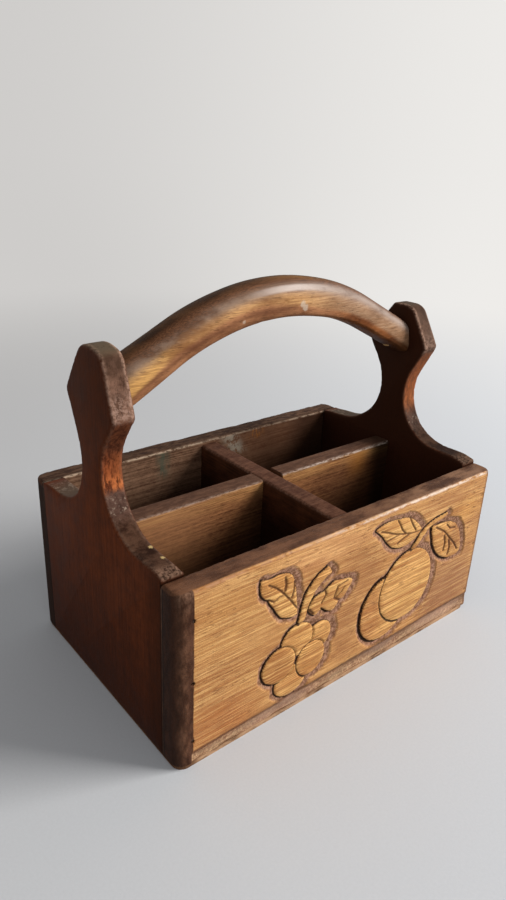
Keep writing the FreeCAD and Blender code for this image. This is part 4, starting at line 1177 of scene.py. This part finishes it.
def dress():
    """Make the worn pieces and give every piece its material."""
    ears = {side: stained_material(f"{side}_ear_stain_and_shade", 2, seed, (108, 53, 27), (72, 34, 17), ear_wear_and_shade(side))
            for side, seed in (("left", 17.0), ("right", 29.0))}
    back = stained_material("back_stain_and_shade", 0, 41.0, (100, 60, 40), (54, 30, 20), wall_wear_and_shade)
    nails = nail_material()
    dowel = plain_wood("dowel_wood", 0, 71.0, (200, 160, 110), (160, 116, 72))
    finishes = {
        "left_end_board": ears["left"], "right_end_board": ears["right"], "back_board": back,
        "long_divider": stained_material(
            "long_divider_wood", 0, 53.0, (118, 76, 50), (66, 38, 24), long_divider_wear_light_and_shade),
        "cross_divider": stained_material(
            "cross_divider_wood", 1, 67.0, (96, 56, 36), (50, 28, 18), cross_divider_wear_and_shade),
        "bottom_board": plain_wood("base_wood", 0, 83.0, (120, 84, 56), (70, 44, 28)),
        "left_handle_dowel": dowel, "right_handle_dowel": dowel,
    }
    for name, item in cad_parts.items():
        item.data.materials.clear()
        item.data.materials.append(finishes.get(name, nails))
    front, rear = long_walls()
    made = ((front, carved_material()), (rear, back), (end_board("left"), ears["left"]),
            (end_board("right"), ears["right"]), (bow_handle(), bow_material()))
    for piece, finish in made:
        piece.data.materials.append(finish)


# Camera, floor and light --------------------------------------------------------------------------

CAMERA_PLACE = (-0.30103, -0.33602, 0.32958)  # in metres, as are all places in this section
CAMERA_YAW = math.radians(40.055)
CAMERA_PITCH = math.radians(22.97)
CAMERA_ROLL = math.radians(2.546)
CAMERA_LENS = 27.575
ASIDE = (math.cos(CAMERA_YAW), -math.sin(CAMERA_YAW))  # to the right of the view
SURROUND = 0.36  # strength of the world's light
FLOOR_REACH = 30.0
AIM = (0, 0, 0.1)  # what the lights look at


def standing(name, data, place, axes):
    """Object at a place with its own axes given as three columns, linked to the scene."""
    item = bpy.data.objects.new(name, data)
    turned = Matrix(np.column_stack(axes).tolist()).to_4x4()
    item.matrix_world = Matrix.Translation(place) @ turned
    bpy.context.scene.collection.objects.link(item)
    return item


def camera():
    """Camera at the viewing angle, looking down over the left end and the front."""
    sight = np.array([math.sin(CAMERA_YAW) * math.cos(CAMERA_PITCH),
                      math.cos(CAMERA_YAW) * math.cos(CAMERA_PITCH), -math.sin(CAMERA_PITCH)])
    right = np.array([*ASIDE, 0])
    above = np.cross(right, sight)
    right, above = (right * math.cos(CAMERA_ROLL) + above * math.sin(CAMERA_ROLL),
                    above * math.cos(CAMERA_ROLL) - right * math.sin(CAMERA_ROLL))
    data = bpy.data.cameras.new("camera")
    data.lens = CAMERA_LENS
    bpy.context.scene.camera = standing("camera", data, CAMERA_PLACE, (right, above, -sight))


def area_light(name, place, width, power, colour):
    """Soft square light that looks at the object."""
    data = bpy.data.lights.new(name, "AREA")
    data.size = width
    data.energy = power
    data.color = colour
    away = np.array(place) - AIM
    away /= np.linalg.norm(away)
    side = np.cross((0, 0, 1), away)
    side /= np.linalg.norm(side)
    standing(name, data, place, (side, np.cross(away, side), away))


def background(graph, across, along):
    """Pale background by compass direction: a little darker on the left of the view, a painted falloff of the
    light.
    """
    side = (across * ASIDE[0] + along * ASIDE[1]) / (across * across + along * along + 0.0001) ** 0.5
    pale = graph.mix(side.ease(-0.4, 0.4), (206, 204, 202), (238, 236, 233))
    return graph.node("Emission", {}, {"Color": pale, "Strength": 1.0})


def seen_rays(graph):
    """1 for rays that show a surface or the world: straight from the camera, mirrored, or through glass."""
    rays = graph.node("LightPath").outputs
    straight, mirrored, through = (
        Value(graph, rays[f"Is {kind} Ray"]) for kind in ("Camera", "Glossy", "Transmission"))
    return straight.larger(mirrored).larger(through)


def close(graph, output, share, first, second):
    """End a graph with two shaders blended by a share."""
    both = graph.node("MixShader", {}, {0: share, 1: first.outputs[0], 2: second.outputs[0]})
    graph.feed(graph.node(output).inputs["Surface"], both.outputs[0])


def backdrop():
    """Wide round floor of pale cloth that turns into the background with distance."""
    turn = np.linspace(0, 2 * math.pi, 96, endpoint=False)
    rim = np.stack([FLOOR_REACH * np.cos(turn), FLOOR_REACH * np.sin(turn), 0 * turn], axis=1)
    mesh = bpy.data.meshes.new("backdrop")
    mesh.from_pydata(rim.tolist(), [], [list(range(len(turn)))])
    graph = Graph("backdrop")
    x, y = graph.x, graph.y
    weave = graph.noise(0.6, 4.0, 0.7)
    # painted falloff of the light: the cloth a little darker on the left of the view
    cloth_colour = graph.mix(
        (x * ASIDE[0] + y * ASIDE[1]).ease(-600, 500),
        graph.mix(weave, (186, 187, 189), (196, 197, 199)),
        graph.mix(weave, (200, 205, 212), (210, 215, 222)))
    bump = graph.node("Bump", {}, {"Height": weave, "Distance": 0.0002, "Strength": 0.3})
    cloth = graph.node("BsdfDiffuse", {}, {"Color": cloth_colour, "Normal": bump.outputs[0]})
    away = (x * x + y * y) ** 0.5
    close(graph, "OutputMaterial", seen_rays(graph) * away.ease(260, 1500), cloth, background(graph, x, y))
    mesh.materials.append(graph.owner)
    floor = bpy.data.objects.new("backdrop", mesh)
    bpy.context.scene.collection.objects.link(floor)


def surround():
    """World: an even weak light, seen as the pale background."""
    graph = Graph("surround", bpy.data.worlds.new("surround"))
    direction = graph.node("SeparateXYZ", {}, {"Vector": graph.node("TexCoord").outputs["Generated"]}).outputs
    across, along = (Value(graph, direction[k]) for k in (0, 1))
    glow = graph.node("Background", {}, {"Color": (1, 0.985, 0.97), "Strength": SURROUND})
    close(graph, "OutputWorld", seen_rays(graph), glow, background(graph, across, along))
    bpy.context.scene.world = graph.owner


def studio():
    """Soft key from the upper right front and a weak fill."""
    area_light("key", (2.125, -1.615, 1.596), width=1.4, power=119, colour=(1, 0.965, 0.92))
    area_light("fill", (-0.9, -1.3, 1.2), width=1.6, power=4, colour=(0.92, 0.96, 1))
    bpy.context.scene.view_settings.view_transform = "Standard"


dress()
backdrop()
surround()
studio()
camera()
